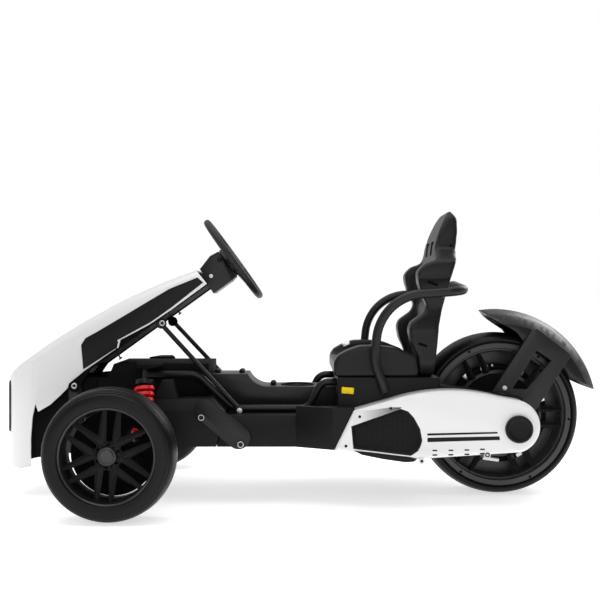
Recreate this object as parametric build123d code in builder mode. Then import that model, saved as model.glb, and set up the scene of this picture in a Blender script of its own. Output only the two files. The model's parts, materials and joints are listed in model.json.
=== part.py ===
from build123d import *
import os
from math import cos, radians, sin

os.makedirs("parts", exist_ok=True)

# A child's electric racing kart with two steered front wheels and one wide rear wheel.
# Millimetres. +Z is up, the front faces -Y and the kart's left side is +X.

# Fits and gaps
seat_gap = 0.3          # between faces that bear on each other
running_gap = 0.05      # radial play of a shaft in its bore
overrun = 30.0          # how far a cut runs past the face it leaves by
wheel_clear = 9.0       # room round a wheel that turns

# Rear wheel
rear_wheel_r = 175.0
rear_tyre_h = 34.0
rear_tyre_w = 132.0
rear_wheel_y = 424.0
rear_barrel_t = 6.0
rear_spoke_depth = 10.0
rear_spoke_w = 11.0
rear_spoke_slot = 12.0
rear_spoke_inset = 2.0
rear_spoke_angle = -4.0
rear_drum_r = 86.0
rear_drum_w = 120.0
rear_ring_t = 9.0
rear_web_t = 6.0
rear_axle_r = 8.0
spoke_count = 6
rear_bead_r = rear_wheel_r - rear_tyre_h
well_half_w = rear_tyre_w / 2 + wheel_clear
well_r = rear_wheel_r + wheel_clear

# Fender and its brackets
fender_out = 51.0
fender_side = 16.0
fender_wall = 4.0
fender_start_angle = 99.0
fender_end_angle = 12.0
fender_tip_back = 28.0
fender_bracket_t = 10.0
bracket_front = 28.0
bracket_drop = 27.0
bracket_reach = 147.0
bracket_rise = 185.0
fender_r = rear_wheel_r + fender_out
fender_half_w = rear_tyre_w / 2 + fender_side

# Fender section, as shares of its half width and radius; its skirt, as an angle and a share of the radius
fender_section_share = ((1.0, 0.0), (1.0, 0.79), (0.93, 0.86), (0.62, 0.945), (0.14, 0.99), (0.0, 1.0))
fender_skirt_angle_share = ((92.0, 0.90), (79.5, 0.80), (72.5, 0.725), (54.0, 0.74), (35.6, 0.75), (29.5, 0.74),
                            (15.6, 0.92))
bracket_share = ((0.52, 0.98), (0.59, 1.0), (0.91, 0.80), (1.0, 0.73), (0.57, 0.18), (0.31, 0.0),
                 (0.02, 0.0), (0.0, 0.25), (0.04, 0.37))
bracket_window_share = ((0.58, 0.78), (0.76, 0.68), (0.46, 0.39), (0.29, 0.40))

# Body widths, outwards from the rear wheel
pod_gap = 21.0
pod_w = 59.0
pod_inner_x = fender_half_w + fender_bracket_t + pod_gap
body_half_w = pod_inner_x + pod_w

# Floor and seat base
floor_bottom_z = 120.0
floor_front_y = -309.0
floor_high_z = 218.0
floor_high_end_y = -186.0
floor_low_z = 184.0
floor_wedge_z = 103.0
floor_wedge_y = -262.0
floor_wedge_end_y = -230.0
flank_lean = 12.0
flank_drop = 24.0
seam_top_y = -158.0
seam_bottom_y = -176.0
seam_gap = 1.0
seat_base_front_y = 72.0
seat_base_top_z = 262.0
seat_base_rear_y = 281.0

# Rear pods, one each side of the wheel
pod_rear_y = 452.0
pod_foot_z = 126.0
pod_front_top_z = 248.0
pod_rear_top_z = 220.0

# Flared sills ahead of the side covers
sill_front_y = -14.0
sill_rear_y = 104.0
sill_top_z = 204.0
sill_spread = 44.0

# Front housing above the keel
housing_half_w = 98.0
housing_front_y = -434.0
housing_face_y = -400.0
housing_rear_y = -198.0
housing_top_z = 286.0
housing_lip_z = 202.0
housing_step_y = -412.0
housing_step_z = 257.0

# Keel under the front housing
keel_step = 1.0
keel_arm_half_w = 36.0
keel_front_y = -500.0
keel_top_z = 165.0
keel_foot_z = 96.0
keel_half_w = housing_half_w - keel_step

# Frame rails
rail_r = 8.0
rail_gap = 2.0
rail_high_z = 265.0
rail_front_y = -328.0
rail_drop_y = -222.0
rail_land_y = -146.0
rail_rise_y = 12.0
rail_top_y = 40.0
rail_seat_z = 248.0
rail_long_bend_r = 42.0
rail_short_bend_r = 26.0
rail_x = housing_half_w + rail_gap + rail_r
rail_low_z = floor_low_z + rail_r + seat_gap

# Front suspension and knuckles
kingpin_out = 78.0
kingpin_r = 5.0
lower_arm_z = 104.0
upper_arm_z = 186.0
arm_r = 6.0
arm_spread = 34.0
boss_r = 12.0
boss_t = 12.0
knuckle_half = 13.0
knuckle_arm_l = 55.0
knuckle_arm_t = 6.0
knuckle_arm_half_w = 7.0
knuckle_gap = 0.5
kingpin_x = body_half_w + kingpin_out

# Backing plate behind each front wheel
plate_r = 73.0
plate_t = 4.0
plate_window_r = 14.0
plate_window_ring_r = 52.0
plate_window_count = 6
plate_window_angle = 38.0

# Front wheels
front_wheel_r = 128.0
front_wheel_y = -367.0
front_scrub = 72.0
front_tyre_w = 100.0
front_tyre_h = 36.0
front_barrel_t = 5.0
front_spoke_depth = 9.0
front_spoke_w = 8.0
front_spoke_slot = 17.0
front_spoke_inset = 9.0
front_spoke_angle = 25.0
front_hub_r = 21.0
front_hub_l = 60.0
front_collar_r = 17.0
front_collar_h = 3.0
front_cap_r = 14.6
front_cap_h = 6.0
front_axle_r = 6.0
front_track_half = kingpin_x + front_scrub
front_bead_r = front_wheel_r - front_tyre_h

# Tyre section, as shares of half the width and of the height from bead to crown
tyre_share = ((0.84, 0.0), (0.97, 0.07), (1.0, 0.22), (0.985, 0.54), (0.93, 0.66), (0.80, 0.79), (0.60, 0.885),
              (0.36, 0.96), (0.12, 1.0))
bead_half_share = 0.84

# Track rod with its slotted plate
track_rod_r = 5.0
track_eye_r = 9.0
track_eye_t = 8.0
track_gap = 1.5
bracket_t = 8.0
bracket_half_w = 26.0
bracket_y = -519.0
bracket_top_z = 314.0
slot_half_w = 5.5
slot_low_z = 274.0
slot_high_z = 302.0

# Dampers with coil springs, leaning inwards at the top
damper_back = 44.0
damper_foot_out = 50.0
damper_foot_z = 112.0
damper_top_in = 4.0
damper_top_z = 281.0
damper_rod_r = 4.0
damper_body_r = 11.0
damper_body_l = 70.0
damper_seat_r = 19.0
damper_seat_t = 9.0
damper_seat_at = 26.0
spring_r = 17.5
spring_wire_r = 3.4
spring_turn_count = 9
tower_t = 8.0
tower_half_w = 15.0
damper_y = front_wheel_y + damper_back
damper_foot_x = body_half_w + damper_foot_out
damper_top_x = body_half_w - damper_top_in

# Steering column: a line through the steering wheel's centre
column_y = -152.5
column_z = 511.0
column_tilt = 35.8
steer_rim_r = 98.0
steer_grip_r = 7.5
steer_hub_r = 30.0
steer_hub_t = 22.0
steer_spoke_w = 24.0
steer_spoke_t = 8.0
steer_spoke_angles = (0.0, 180.0, 270.0)
grip_side_count = 12
shaft_r = 8.0
shaft_l = 405.0
pitman_l = 36.0
pitman_t = 8.0
pitman_half_w = 11.0
pitman_pin_r = 4.0
pitman_pin_l = 39.0

# Hinge bracket at the column frame's foot
pivot_y = -482.0
pivot_z = 239.0
pivot_r = 5.0
pivot_head_r = 8.0
pivot_lug_r = 14.0
pivot_lug_t = 8.0
pivot_head_t = 5.0

# Column frame below the shaft
column_drop = 11.0
column_frame_t = 5.0
column_side_t = 4.0
column_side_rise = 4.0
column_side_drop = 19.0
column_frame_top = 78.0
column_frame_short = 48.4
bearing_half_w = 22.0
bearing_t = 20.0
bearing_top = 14.0
bearing_top_inset = 34.0
bearing_foot_inset = 26.0

# Housing round the top of the column, its side outline in shares of its length and drop
column_housing_share = ((1.0, -0.3), (0.66, -0.3), (0.66, -0.6), (0.24, -0.87), (0.0, -0.8), (0.14, 1.0))
column_housing_start = 16.0
column_housing_l = 84.0
column_housing_drop = 38.0
column_housing_half_w = 38.0

# Hood and nose in one shell; its lower outline runs forward from the column housing and down the nose
hood_tip_y = -641.0
hood_rear_y = -202.0
hood_clear = 7.0
hood_flank_y = -566.0
hood_wall = 4.0
hood_edge_r = 22.0
hood_seam_z = 244.0
hood_top_z = 484.0
hood_tip_z = 252.0
hood_crown_y = -439.0
hood_crown_z = 389.0
hood_end_y = -226.0
hood_foot_share = ((1.0, 0.88), (0.828, 0.65), (0.724, 0.521), (0.56, 0.362), (0.567, 0.329), (0.558, 0.30),
                   (0.415, 0.12), (0.365, 0.045))
hood_half_w = housing_half_w + hood_clear
column_frame_half_w = hood_half_w - hood_wall

# Hood side insets
inset_t = 1.5
inset_share = ((0.405, 0.125), (0.395, 0.34), (0.415, 0.40), (0.47, 0.455), (0.82, 0.835), (0.955, 0.935),
               (0.982, 0.89), (0.828, 0.668), (0.727, 0.539), (0.568, 0.381), (0.578, 0.338), (0.565, 0.315))

# Nose below the hood, with a dark oval panel in front and a plate inside
nose_rear_y = -494.0
nose_foot_z = 61.0
nose_share = ((1.0, 1.0), (0.985, 0.95), (0.88, 0.865), (0.73, 0.755), (0.56, 0.675), (0.52, 0.77),
              (0.475, 0.60), (0.45, 0.36), (0.45, 0.04), (0.27, 0.0), (0.09, 0.03))
nose_belly_share = (0.0, 0.48)
insert_out = 4.0
insert_half_w = 34.0
insert_foot_z = 131.0
insert_edge_r = 24.0
backing_t = 6.0
backing_y = -572.0
backing_foot_z = 84.0
backing_top_z = 196.0
cheek_in = 17.0
cheek_rear_y = -436.0
cheek_top_z = 258.0
cheek_t = 4.0

# Hood struts
strut_r = 5.0
strut_eye_r = rail_r
strut_eye_t = 11.0
strut_lug_r = 11.0
strut_top_y = -299.0
strut_top_z = 371.0
strut_foot_y = -133.0

# Link arms between the two floor halves: a plate, a raised rib along its top and two bolts
link_t = 7.0
link_front_y = -200.0
link_front_z = 196.0
link_front_r = 22.0
link_rear_y = -131.0
link_rear_z = 140.0
link_rear_r = 24.0
link_rib_t = 4.0
link_rib_rise = 7.0
link_rib_in = 8.0
link_bolt_r = 7.0
link_bolt_t = 6.0
link_bolt_bore_r = 4.0
link_bolt_front = (-207.0, 181.0)
link_bolt_rear = (-126.5, 126.0)

# Console and cup holder
console_half_w = 58.0
console_high_z = 261.0
console_high_y = -118.0
console_dip_y = -103.0
console_dip_z = 243.0
console_low_y = -78.0
console_low_z = 234.0
cup_y = -11.0
cup_r = 33.0
cup_depth = 42.0

# Pedals
pedal_in = 33.0
pedal_half_w = 21.0
pedal_front_y = -306.0
pedal_top_y = -290.0
pedal_rear_y = -256.0
pedal_top_z = 256.0
pedal_x = body_half_w - pedal_in

# Seat cushion
cushion_in = 6.0
cushion_front_y = 64.0
cushion_rear_y = 240.0
cushion_top_z = 330.0
cushion_pan_z = 296.0
cushion_round_r = 9.0
bolster_w = 52.0
cushion_share = ((0.0, 0.0), (0.0, 0.46), (0.05, 0.66), (0.16, 0.82), (0.30, 0.95),
                 (0.50, 0.97), (0.72, 0.90), (0.97, 0.64), (1.0, 0.0))
cushion_half_w = body_half_w - cushion_in

# Seat back: side outlines as shares of its depth and height, front outline as shares of half width and height
back_in = 10.0
back_bolster_w = 58.0
back_foot_y = 219.0
back_rear_y = 343.0
back_foot_z = 262.0
back_top_z = 615.0
back_round_r = 9.0
back_rear_share = ((0.80, 1.0), (0.90, 0.945), (0.895, 0.86), (0.865, 0.78), (0.82, 0.69),
                   (0.72, 0.59), (0.66, 0.51), (0.61, 0.43), (0.51, 0.29), (0.455, 0.09), (0.425, 0.0))
bolster_front_share = ((0.17, 0.0), (0.15, 0.12), (0.04, 0.20), (0.0, 0.275), (0.04, 0.32),
                       (0.26, 0.375), (0.32, 0.42), (0.23, 0.48), (0.16, 0.555), (0.14, 0.615),
                       (0.27, 0.665), (0.53, 0.695), (0.66, 0.80))
pan_front_share = ((0.21, 0.0), (0.26, 0.17), (0.38, 0.42), (0.47, 0.68), (0.50, 0.78), (0.57, 0.86),
                   (0.66, 0.93), (0.75, 0.985), (0.80, 1.0))
back_width_share = ((0.92, 0.0), (1.0, 0.08), (1.0, 0.27), (0.86, 0.40), (0.90, 0.50),
                    (1.0, 0.59), (0.95, 0.68), (0.62, 0.76), (0.56, 0.88), (0.50, 0.96), (0.36, 1.0))
back_half_w = body_half_w - back_in
back_pan_half_w = back_half_w - back_bolster_w

# Armrest hoop round the seat
hoop_r = 9.5
hoop_foot_y = 169.0
hoop_foot_z = 232.0
hoop_knee_y = 146.0
hoop_knee_z = 298.0
hoop_top_y = 160.0
hoop_top_z = 427.0
hoop_rear_y = 333.0
hoop_rear_z = 440.0
hoop_knee_bend_r = 96.0
hoop_top_bend_r = 100.0
hoop_rear_bend_r = 36.0
hoop_arch = 14.0
hoop_arch_bend_r = 240.0
hoop_x = body_half_w + hoop_r + seat_gap

# Side covers; each row of the outline gives a point it passes through, or none, and its end
cover_front_y = 64.0
cover_rear_y = 476.0
cover_foot_z = 101.0
cover_top_z = 242.0
cover_depth = 53.0
cover_wall = 4.0
cover_edge_r = 8.0
cover_start_share = (0.0, 0.142)
cover_line_share = ((None, (0.094, 0.70)), (None, (0.277, 0.853)), ((0.54, 0.985), (0.81, 0.89)),
                    (None, (0.895, 0.845)), ((1.0, 0.49), (0.908, 0.106)), (None, (0.386, 0.007)),
                    (None, (0.0, 0.142)))
grille_share = ((0.08, 0.48), (0.09, 0.16), (0.37, 0.06), (0.41, 0.14), (0.425, 0.27),
                (0.415, 0.44), (0.385, 0.60), (0.357, 0.69), (0.32, 0.73))
grille_t = 3.0
cap_y = 432.0
cap_z = 163.0
cap_r = 27.5
cap_t = 11.0
cap_edge = 5.0
cover_x = body_half_w + cover_depth

# Reflectors on the seat base
reflector_y = 80.0
reflector_w = 25.0
reflector_h = 13.0
reflector_z = 229.0
reflector_lean = 4.0
reflector_t = 3.0

# Directions along and square to the steering column, in the YZ plane
along_y = -cos(radians(column_tilt))
along_z = -sin(radians(column_tilt))
square_y = sin(radians(column_tilt))
square_z = -cos(radians(column_tilt))
column_plane = Plane((0, column_y, column_z), x_dir=(1, 0, 0), z_dir=(0, along_y, along_z))
pivot_down = (pivot_y - column_y) * along_y + (pivot_z - column_z) * along_z
column_frame_foot = pivot_down - column_frame_short
bearing_places = (column_frame_top + bearing_top_inset, column_frame_foot - bearing_foot_inset)

# Outer corners of the pieces that a table of shares fills
hood_low = (hood_tip_y, hood_seam_z)
hood_high = (hood_rear_y, hood_top_z)
nose_low = (hood_tip_y, nose_foot_z)
nose_high = (nose_rear_y, hood_seam_z)
back_low = (back_foot_y, back_foot_z)
back_high = (back_rear_y, back_top_z)
cover_low = (cover_front_y, cover_foot_z)
cover_high = (cover_rear_y, cover_top_z)
bracket_low = (rear_wheel_y - bracket_front, rear_wheel_r - bracket_drop)
bracket_high = (rear_wheel_y + bracket_reach, rear_wheel_r + bracket_rise)


def on_column(down, drop=0.0):
    """Y and Z of a point at a distance down the column and square below it."""
    return (column_y + down * along_y + drop * square_y, column_z + down * along_z + drop * square_z)


def spread(shares, low, high):
    """Points of a table of shares, laid out between two corners."""
    return [(low[0] + u * (high[0] - low[0]), low[1] + v * (high[1] - low[1])) for u, v in shares]


def wheel_plane(x, wheel_y, wheel_r):
    """Plane whose first axis is the wheel's axle and whose second points up from the axle."""
    return Plane((x, wheel_y, wheel_r), x_dir=(1, 0, 0), z_dir=(0, -1, 0))


def keep(name, piece):
    """Label a finished piece and write it."""
    piece.part.label = name
    export_step(piece.part, f"parts/{name}.step")


def keep_pair(name, left):
    """Write a left piece and its mirror image as two nodes."""
    with BuildPart() as right:
        mirror(left.part, about=Plane.YZ)
    keep(f"{name}_left", left)
    keep(f"{name}_right", right)


def keep_both(name, left):
    """Write a left piece and its mirror image as one node."""
    with BuildPart() as pair:
        add(left.part)
        mirror(left.part, about=Plane.YZ)
    keep(name, pair)


def side_slab(points, x, thickness, round_r=0):
    """A slab cut to an outline seen from the side, from a plane at x outwards, its corners rounded if asked."""
    with BuildPart() as slab:
        with BuildSketch(Plane.YZ.offset(x)):
            with BuildLine():
                Polyline(*points, close=True)
            make_face()
            if round_r:
                offset(amount=-round_r, mode=Mode.REPLACE)
                offset(amount=round_r, mode=Mode.REPLACE)
        extrude(amount=thickness)
    return slab.part


def draw_outline(start_share, line_share, low, high):
    """Lines and arcs one after the other; each row gives a point to pass through, or none, and its end."""
    here = spread((start_share,), low, high)[0]
    for via, end in line_share:
        there = spread((end,), low, high)[0]
        if via is None:
            Line(here, there)
        else:
            ThreePointArc(here, spread((via,), low, high)[0], there)
        here = there


def wheel_well():
    """The space that the turning rear wheel needs."""
    with BuildPart() as well:
        with BuildSketch(Plane.YZ.offset(-well_half_w)):
            with Locations((rear_wheel_y, rear_wheel_r)):
                Circle(well_r)
        extrude(amount=2 * well_half_w)
    return well.part


# Tyres
def tyre(x, wheel_y, wheel_r, bead_r, width):
    """A tyre as one ring with upright walls, round shoulders and a low crown."""
    section = [(u * width / 2, bead_r + v * (wheel_r - bead_r)) for u, v in tyre_share]
    with BuildPart() as ring:
        with BuildSketch(wheel_plane(x, wheel_y, wheel_r)):
            with BuildLine():
                Polyline(*section, *[(-u, v) for u, v in reversed(section)], close=True)
            make_face()
        revolve(axis=Axis((0, wheel_y, wheel_r), (1, 0, 0)))
    return ring


def spoke_disc(x, depth, wheel_y, wheel_r, inner_r, outer_r, ring_r, width, slot, start):
    """Pairs of side by side spokes between a hub ring and the barrel, from a plane at x."""
    aside = (width + slot) / 2
    with BuildPart() as disc:
        with BuildSketch(Plane.YZ.offset(x)):
            with Locations((wheel_y, wheel_r)):
                Circle(ring_r)
                with PolarLocations((inner_r + outer_r) / 2, spoke_count, start_angle=start):
                    with Locations((0, -aside), (0, aside)):
                        Rectangle(outer_r - inner_r, width)
        extrude(amount=depth)
    return disc.part


# Front wheels, each turning on its knuckle's stub axle
barrel_half = front_tyre_w / 2 * bead_half_share
front_face_x = front_track_half + barrel_half
front_tyre = tyre(front_track_half, front_wheel_y, front_wheel_r, front_bead_r, front_tyre_w)
keep_pair("front_tyre", front_tyre)

spoke_x = front_face_x - front_spoke_inset - front_spoke_depth
barrel_r = front_bead_r - seat_gap
with BuildPart() as front_rim:
    with BuildSketch(wheel_plane(front_track_half, front_wheel_y, front_wheel_r)):
        with Locations((0, barrel_r - front_barrel_t / 2)):
            Rectangle(2 * barrel_half, front_barrel_t)
    revolve(axis=Axis((0, front_wheel_y, front_wheel_r), (1, 0, 0)))
    add(spoke_disc(spoke_x, front_spoke_depth, front_wheel_y, front_wheel_r, front_hub_r / 2,
                   barrel_r - front_barrel_t, front_hub_r, front_spoke_w, front_spoke_slot,
                   front_spoke_angle))
    for radius, far in ((front_hub_r, -front_hub_l), (front_collar_r, front_collar_h),
                        (front_cap_r, front_cap_h)):
        with BuildSketch(Plane.YZ.offset(spoke_x + front_spoke_depth)):
            with Locations((front_wheel_y, front_wheel_r)):
                Circle(radius)
        extrude(amount=far)
    hub_inner_x = spoke_x + front_spoke_depth - front_hub_l
    bore_l = front_hub_l - front_spoke_depth
    with BuildSketch(Plane.YZ.offset(hub_inner_x)):
        with Locations((front_wheel_y, front_wheel_r)):
            Circle(front_axle_r + running_gap)
    extrude(amount=bore_l, mode=Mode.SUBTRACT)
keep_pair("front_rim", front_rim)

# Knuckles with their stub axles, steering arms and backing plates
knuckle_top_z = upper_arm_z - boss_t / 2 - knuckle_gap
knuckle_foot_z = lower_arm_z + boss_t / 2 + knuckle_gap
with BuildPart() as knuckle:
    with BuildSketch(Plane.XY.offset(knuckle_foot_z)):
        with Locations((kingpin_x, front_wheel_y)):
            Circle(knuckle_half)
    extrude(amount=knuckle_top_z - knuckle_foot_z)
    with BuildSketch(Plane.YZ.offset(kingpin_x)):
        with Locations((front_wheel_y, front_wheel_r)):
            Circle(knuckle_half)
    extrude(amount=hub_inner_x - kingpin_x - knuckle_gap)
    with BuildSketch(Plane.YZ.offset(kingpin_x)):
        with Locations((front_wheel_y, front_wheel_r)):
            Circle(front_axle_r)
    extrude(amount=hub_inner_x - kingpin_x + bore_l - knuckle_gap)
    with BuildSketch(Plane.XY.offset(knuckle_top_z - knuckle_arm_t)):
        with Locations((kingpin_x, front_wheel_y - knuckle_arm_l / 2)):
            SlotCenterToCenter(knuckle_arm_l, 2 * knuckle_arm_half_w, rotation=90)
    extrude(amount=knuckle_arm_t)
    with BuildSketch(Plane.XY.offset(knuckle_foot_z)):
        with Locations((kingpin_x, front_wheel_y)):
            Circle(kingpin_r + running_gap)
    extrude(amount=knuckle_top_z - knuckle_foot_z, mode=Mode.SUBTRACT)
    with BuildSketch(Plane.YZ.offset(hub_inner_x - knuckle_gap)):
        with Locations((front_wheel_y, front_wheel_r)):
            Circle(plate_r)
            with PolarLocations(plate_window_ring_r, plate_window_count, start_angle=plate_window_angle):
                Circle(plate_window_r, mode=Mode.SUBTRACT)
    extrude(amount=-plate_t)
keep_pair("knuckle", knuckle)

# Wishbones, with the kingpin through both and a tower for the damper
with BuildPart() as wishbones:
    for arm_z, root_x in ((lower_arm_z, keel_half_w), (upper_arm_z, housing_half_w)):
        with BuildSketch(Plane.XY.offset(arm_z - boss_t / 2)):
            with Locations((kingpin_x, front_wheel_y)):
                Circle(boss_r)
        extrude(amount=boss_t)
        for way in (-1, 1):
            with BuildLine():
                arm_line = Line((root_x, front_wheel_y + way * arm_spread, arm_z),
                                (kingpin_x, front_wheel_y, arm_z))
            with BuildSketch(Plane(origin=arm_line @ 0, z_dir=arm_line % 0)):
                Circle(arm_r)
            sweep()
        with BuildSketch(Plane.YZ.offset(root_x - overrun)):
            with Locations((front_wheel_y, arm_z)):
                Rectangle(2 * arm_spread + 4 * arm_r, 4 * arm_r)
        extrude(amount=overrun, mode=Mode.SUBTRACT)
    with BuildSketch(Plane.XY.offset(lower_arm_z - boss_t / 2)):
        with Locations((kingpin_x, front_wheel_y)):
            Circle(kingpin_r)
    extrude(amount=upper_arm_z - lower_arm_z + boss_t)
keep_pair("wishbones", wishbones)

# Track rod with eyes above the steering arms and a slotted plate for the column's crank pin
rod_z = knuckle_top_z + track_gap + track_eye_t / 2
rod_y = front_wheel_y - knuckle_arm_l
with BuildPart() as track_rod:
    with BuildSketch(Plane.YZ.offset(-kingpin_x)):
        with Locations((rod_y, rod_z)):
            Circle(track_rod_r)
    extrude(amount=2 * kingpin_x)
    for way in (-1, 1):
        with BuildSketch(Plane.XY.offset(rod_z - track_eye_t / 2)):
            with Locations((way * kingpin_x, rod_y)):
                Circle(track_eye_r)
        extrude(amount=track_eye_t)
    with BuildSketch(Plane.XY.offset(rod_z - bracket_t / 2)):
        with Locations((0, (rod_y + bracket_y) / 2)):
            Rectangle(2 * bracket_half_w, rod_y - bracket_y + bracket_t)
    extrude(amount=bracket_t)
    with BuildSketch(Plane.XZ.offset(-(bracket_y + bracket_t / 2))):
        with Locations((0, (rod_z + bracket_top_z) / 2)):
            Rectangle(2 * bracket_half_w, bracket_top_z - rod_z)
        with Locations((0, (slot_low_z + slot_high_z) / 2)):
            Rectangle(2 * slot_half_w, slot_high_z - slot_low_z, mode=Mode.SUBTRACT)
    extrude(amount=bracket_t)
keep("track_rod", track_rod)

# Rear wheel round its drum, on an axle held by the fender brackets
rear_tyre = tyre(0, rear_wheel_y, rear_wheel_r, rear_bead_r, rear_tyre_w)
keep("rear_tyre", rear_tyre)

rear_barrel_half = rear_tyre_w / 2 * bead_half_share
rear_barrel_r = rear_bead_r - seat_gap
with BuildPart() as rear_rim:
    with BuildSketch(wheel_plane(0, rear_wheel_y, rear_wheel_r)):
        with Locations((0, rear_barrel_r - rear_barrel_t / 2)):
            Rectangle(2 * rear_barrel_half, rear_barrel_t)
    revolve(axis=Axis((0, rear_wheel_y, rear_wheel_r), (1, 0, 0)))
    for face_x in (rear_barrel_half - rear_spoke_inset - rear_spoke_depth, rear_spoke_inset - rear_barrel_half):
        add(spoke_disc(face_x, rear_spoke_depth, rear_wheel_y, rear_wheel_r, rear_drum_r,
                       rear_barrel_r - rear_barrel_t, rear_drum_r + rear_ring_t, rear_spoke_w,
                       rear_spoke_slot, rear_spoke_angle))
    with BuildSketch(Plane.YZ.offset(-rear_web_t / 2)):
        with Locations((rear_wheel_y, rear_wheel_r)):
            Circle(rear_barrel_r - rear_barrel_t / 2)
    extrude(amount=rear_web_t)
    with BuildSketch(Plane.YZ.offset(-rear_tyre_w)):
        with Locations((rear_wheel_y, rear_wheel_r)):
            Circle(rear_drum_r + seat_gap)
    extrude(amount=2 * rear_tyre_w, mode=Mode.SUBTRACT)
keep("rear_rim", rear_rim)

with BuildPart() as rear_drum:
    with BuildSketch(Plane.YZ.offset(-rear_drum_w / 2)):
        with Locations((rear_wheel_y, rear_wheel_r)):
            Circle(rear_drum_r)
            Circle(rear_axle_r + running_gap, mode=Mode.SUBTRACT)
    extrude(amount=rear_drum_w)
keep("rear_drum", rear_drum)

with BuildPart() as rear_axle:
    with BuildSketch(Plane.YZ.offset(-pod_inner_x)):
        with Locations((rear_wheel_y, rear_wheel_r)):
            Circle(rear_axle_r)
    extrude(amount=2 * pod_inner_x)
keep("rear_axle", rear_axle)

# Floor halves, joined by the link arms, their top edges leaning inwards
def flank_cut(top_z, front_y, rear_y):
    """What leans the floor's top edges inwards, on both sides between two places."""
    with BuildPart() as wedges:
        with BuildSketch(Plane.XZ.offset(-front_y)):
            for way in (-1, 1):
                with BuildLine():
                    Polyline((way * body_half_w, top_z - flank_drop), (way * (body_half_w - flank_lean), top_z),
                             (way * (body_half_w - flank_lean), top_z + overrun),
                             (way * (body_half_w + overrun), top_z + overrun),
                             (way * (body_half_w + overrun), top_z - flank_drop), close=True)
                make_face()
        extrude(amount=front_y - rear_y)
    return wedges.part


front_floor_points = ((floor_front_y, keel_foot_z), (floor_front_y, floor_high_z),
                      (floor_high_end_y, floor_high_z),
                      (seam_top_y - seam_gap, floor_high_z - (seam_top_y - floor_high_end_y)),
                      (seam_bottom_y - seam_gap, floor_bottom_z), (floor_wedge_end_y, floor_bottom_z),
                      (floor_wedge_y, floor_wedge_z))
with BuildPart() as front_floor:
    add(side_slab(front_floor_points, -body_half_w, 2 * body_half_w))
    add(flank_cut(floor_high_z, floor_front_y, seam_bottom_y + overrun), mode=Mode.SUBTRACT)
keep("front_floor", front_floor)

rear_floor_points = ((seam_bottom_y, floor_bottom_z), (seam_top_y, floor_low_z),
                     (seat_base_front_y, floor_low_z), (seat_base_front_y, floor_bottom_z))
with BuildPart() as rear_floor:
    add(side_slab(rear_floor_points, -body_half_w, 2 * body_half_w))
    add(flank_cut(floor_low_z, seam_bottom_y, seat_base_front_y), mode=Mode.SUBTRACT)
keep("rear_floor", rear_floor)

# Seat base, open behind for the wheel, with a pod each side of it
base_points = ((seat_base_front_y, floor_bottom_z), (seat_base_front_y, seat_base_top_z),
               (seat_base_rear_y, seat_base_top_z), (seat_base_rear_y, floor_bottom_z))
with BuildPart() as seat_base:
    add(side_slab(base_points, -body_half_w, 2 * body_half_w))
    add(wheel_well(), mode=Mode.SUBTRACT)
keep("seat_base", seat_base)

pod_points = ((seat_base_rear_y, pod_foot_z), (seat_base_rear_y, pod_front_top_z),
              (pod_rear_y, pod_rear_top_z), (pod_rear_y, pod_foot_z))
with BuildPart() as pod:
    add(side_slab(pod_points, pod_inner_x, body_half_w - pod_inner_x))
keep_both("rear_pods", pod)

# Flared sills
with BuildPart() as sill:
    with BuildSketch(Plane.XY.offset(floor_bottom_z)):
        with BuildLine():
            Polyline((body_half_w, sill_front_y), (body_half_w + sill_spread, sill_rear_y - sill_spread),
                     (body_half_w + sill_spread, sill_rear_y), (body_half_w, sill_rear_y), close=True)
        make_face()
    extrude(amount=sill_top_z - floor_bottom_z)
    with BuildSketch(Plane.YZ.offset(body_half_w - overrun)):
        with BuildLine():
            draw_outline(cover_start_share, cover_line_share, cover_low, cover_high)
        make_face()
    extrude(amount=body_half_w, mode=Mode.SUBTRACT)
    sill_piece = sill.solids().sort_by(Axis.Y)[0]
with BuildPart() as sill_clean:
    add(sill_piece)
keep_both("sills", sill_clean)

# Console with its cup holder
with BuildPart() as console:
    with BuildSketch(Plane.YZ.offset(-console_half_w)):
        with BuildLine():
            Polyline((console_low_y, console_low_z), (seat_base_front_y, console_low_z),
                     (seat_base_front_y, floor_low_z), (housing_rear_y, floor_low_z),
                     (housing_rear_y, console_high_z), (console_high_y, console_high_z))
            ThreePointArc((console_high_y, console_high_z), (console_dip_y, console_dip_z),
                          (console_low_y, console_low_z))
        make_face()
    extrude(amount=2 * console_half_w)
    floor_cut = front_floor_points[1:4] + ((seam_top_y, floor_low_z), (seam_top_y, floor_bottom_z),
                                           (floor_front_y, floor_bottom_z))
    add(side_slab(floor_cut, -body_half_w, 2 * body_half_w), mode=Mode.SUBTRACT)
    with BuildSketch(Plane.XY.offset(console_low_z)):
        with Locations((0, cup_y)):
            Circle(cup_r)
    extrude(amount=-cup_depth, mode=Mode.SUBTRACT)
keep("console", console)

# Keel and front housing
with BuildPart() as keel:
    with BuildSketch(Plane.XY.offset(keel_foot_z)):
        with Locations((0, (keel_front_y + floor_front_y) / 2)):
            Rectangle(2 * keel_half_w, floor_front_y - keel_front_y)
        with Locations((0, (backing_y + keel_front_y) / 2)):
            Rectangle(2 * keel_arm_half_w, keel_front_y - backing_y)
    extrude(amount=keel_top_z - keel_foot_z)
keep("keel", keel)

housing_points = ((housing_face_y, keel_top_z), (housing_face_y, housing_lip_z),
                  (housing_front_y, housing_lip_z), (housing_front_y, housing_step_z),
                  (housing_step_y, housing_step_z), (housing_face_y, housing_top_z),
                  (housing_rear_y, housing_top_z), (housing_rear_y, floor_high_z),
                  (floor_front_y, floor_high_z), (floor_front_y, keel_top_z))
with BuildPart() as front_housing:
    add(side_slab(housing_points, -housing_half_w, 2 * housing_half_w))
    add(side_slab(front_floor_points, -body_half_w, 2 * body_half_w), mode=Mode.SUBTRACT)
keep("front_housing", front_housing)

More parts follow.
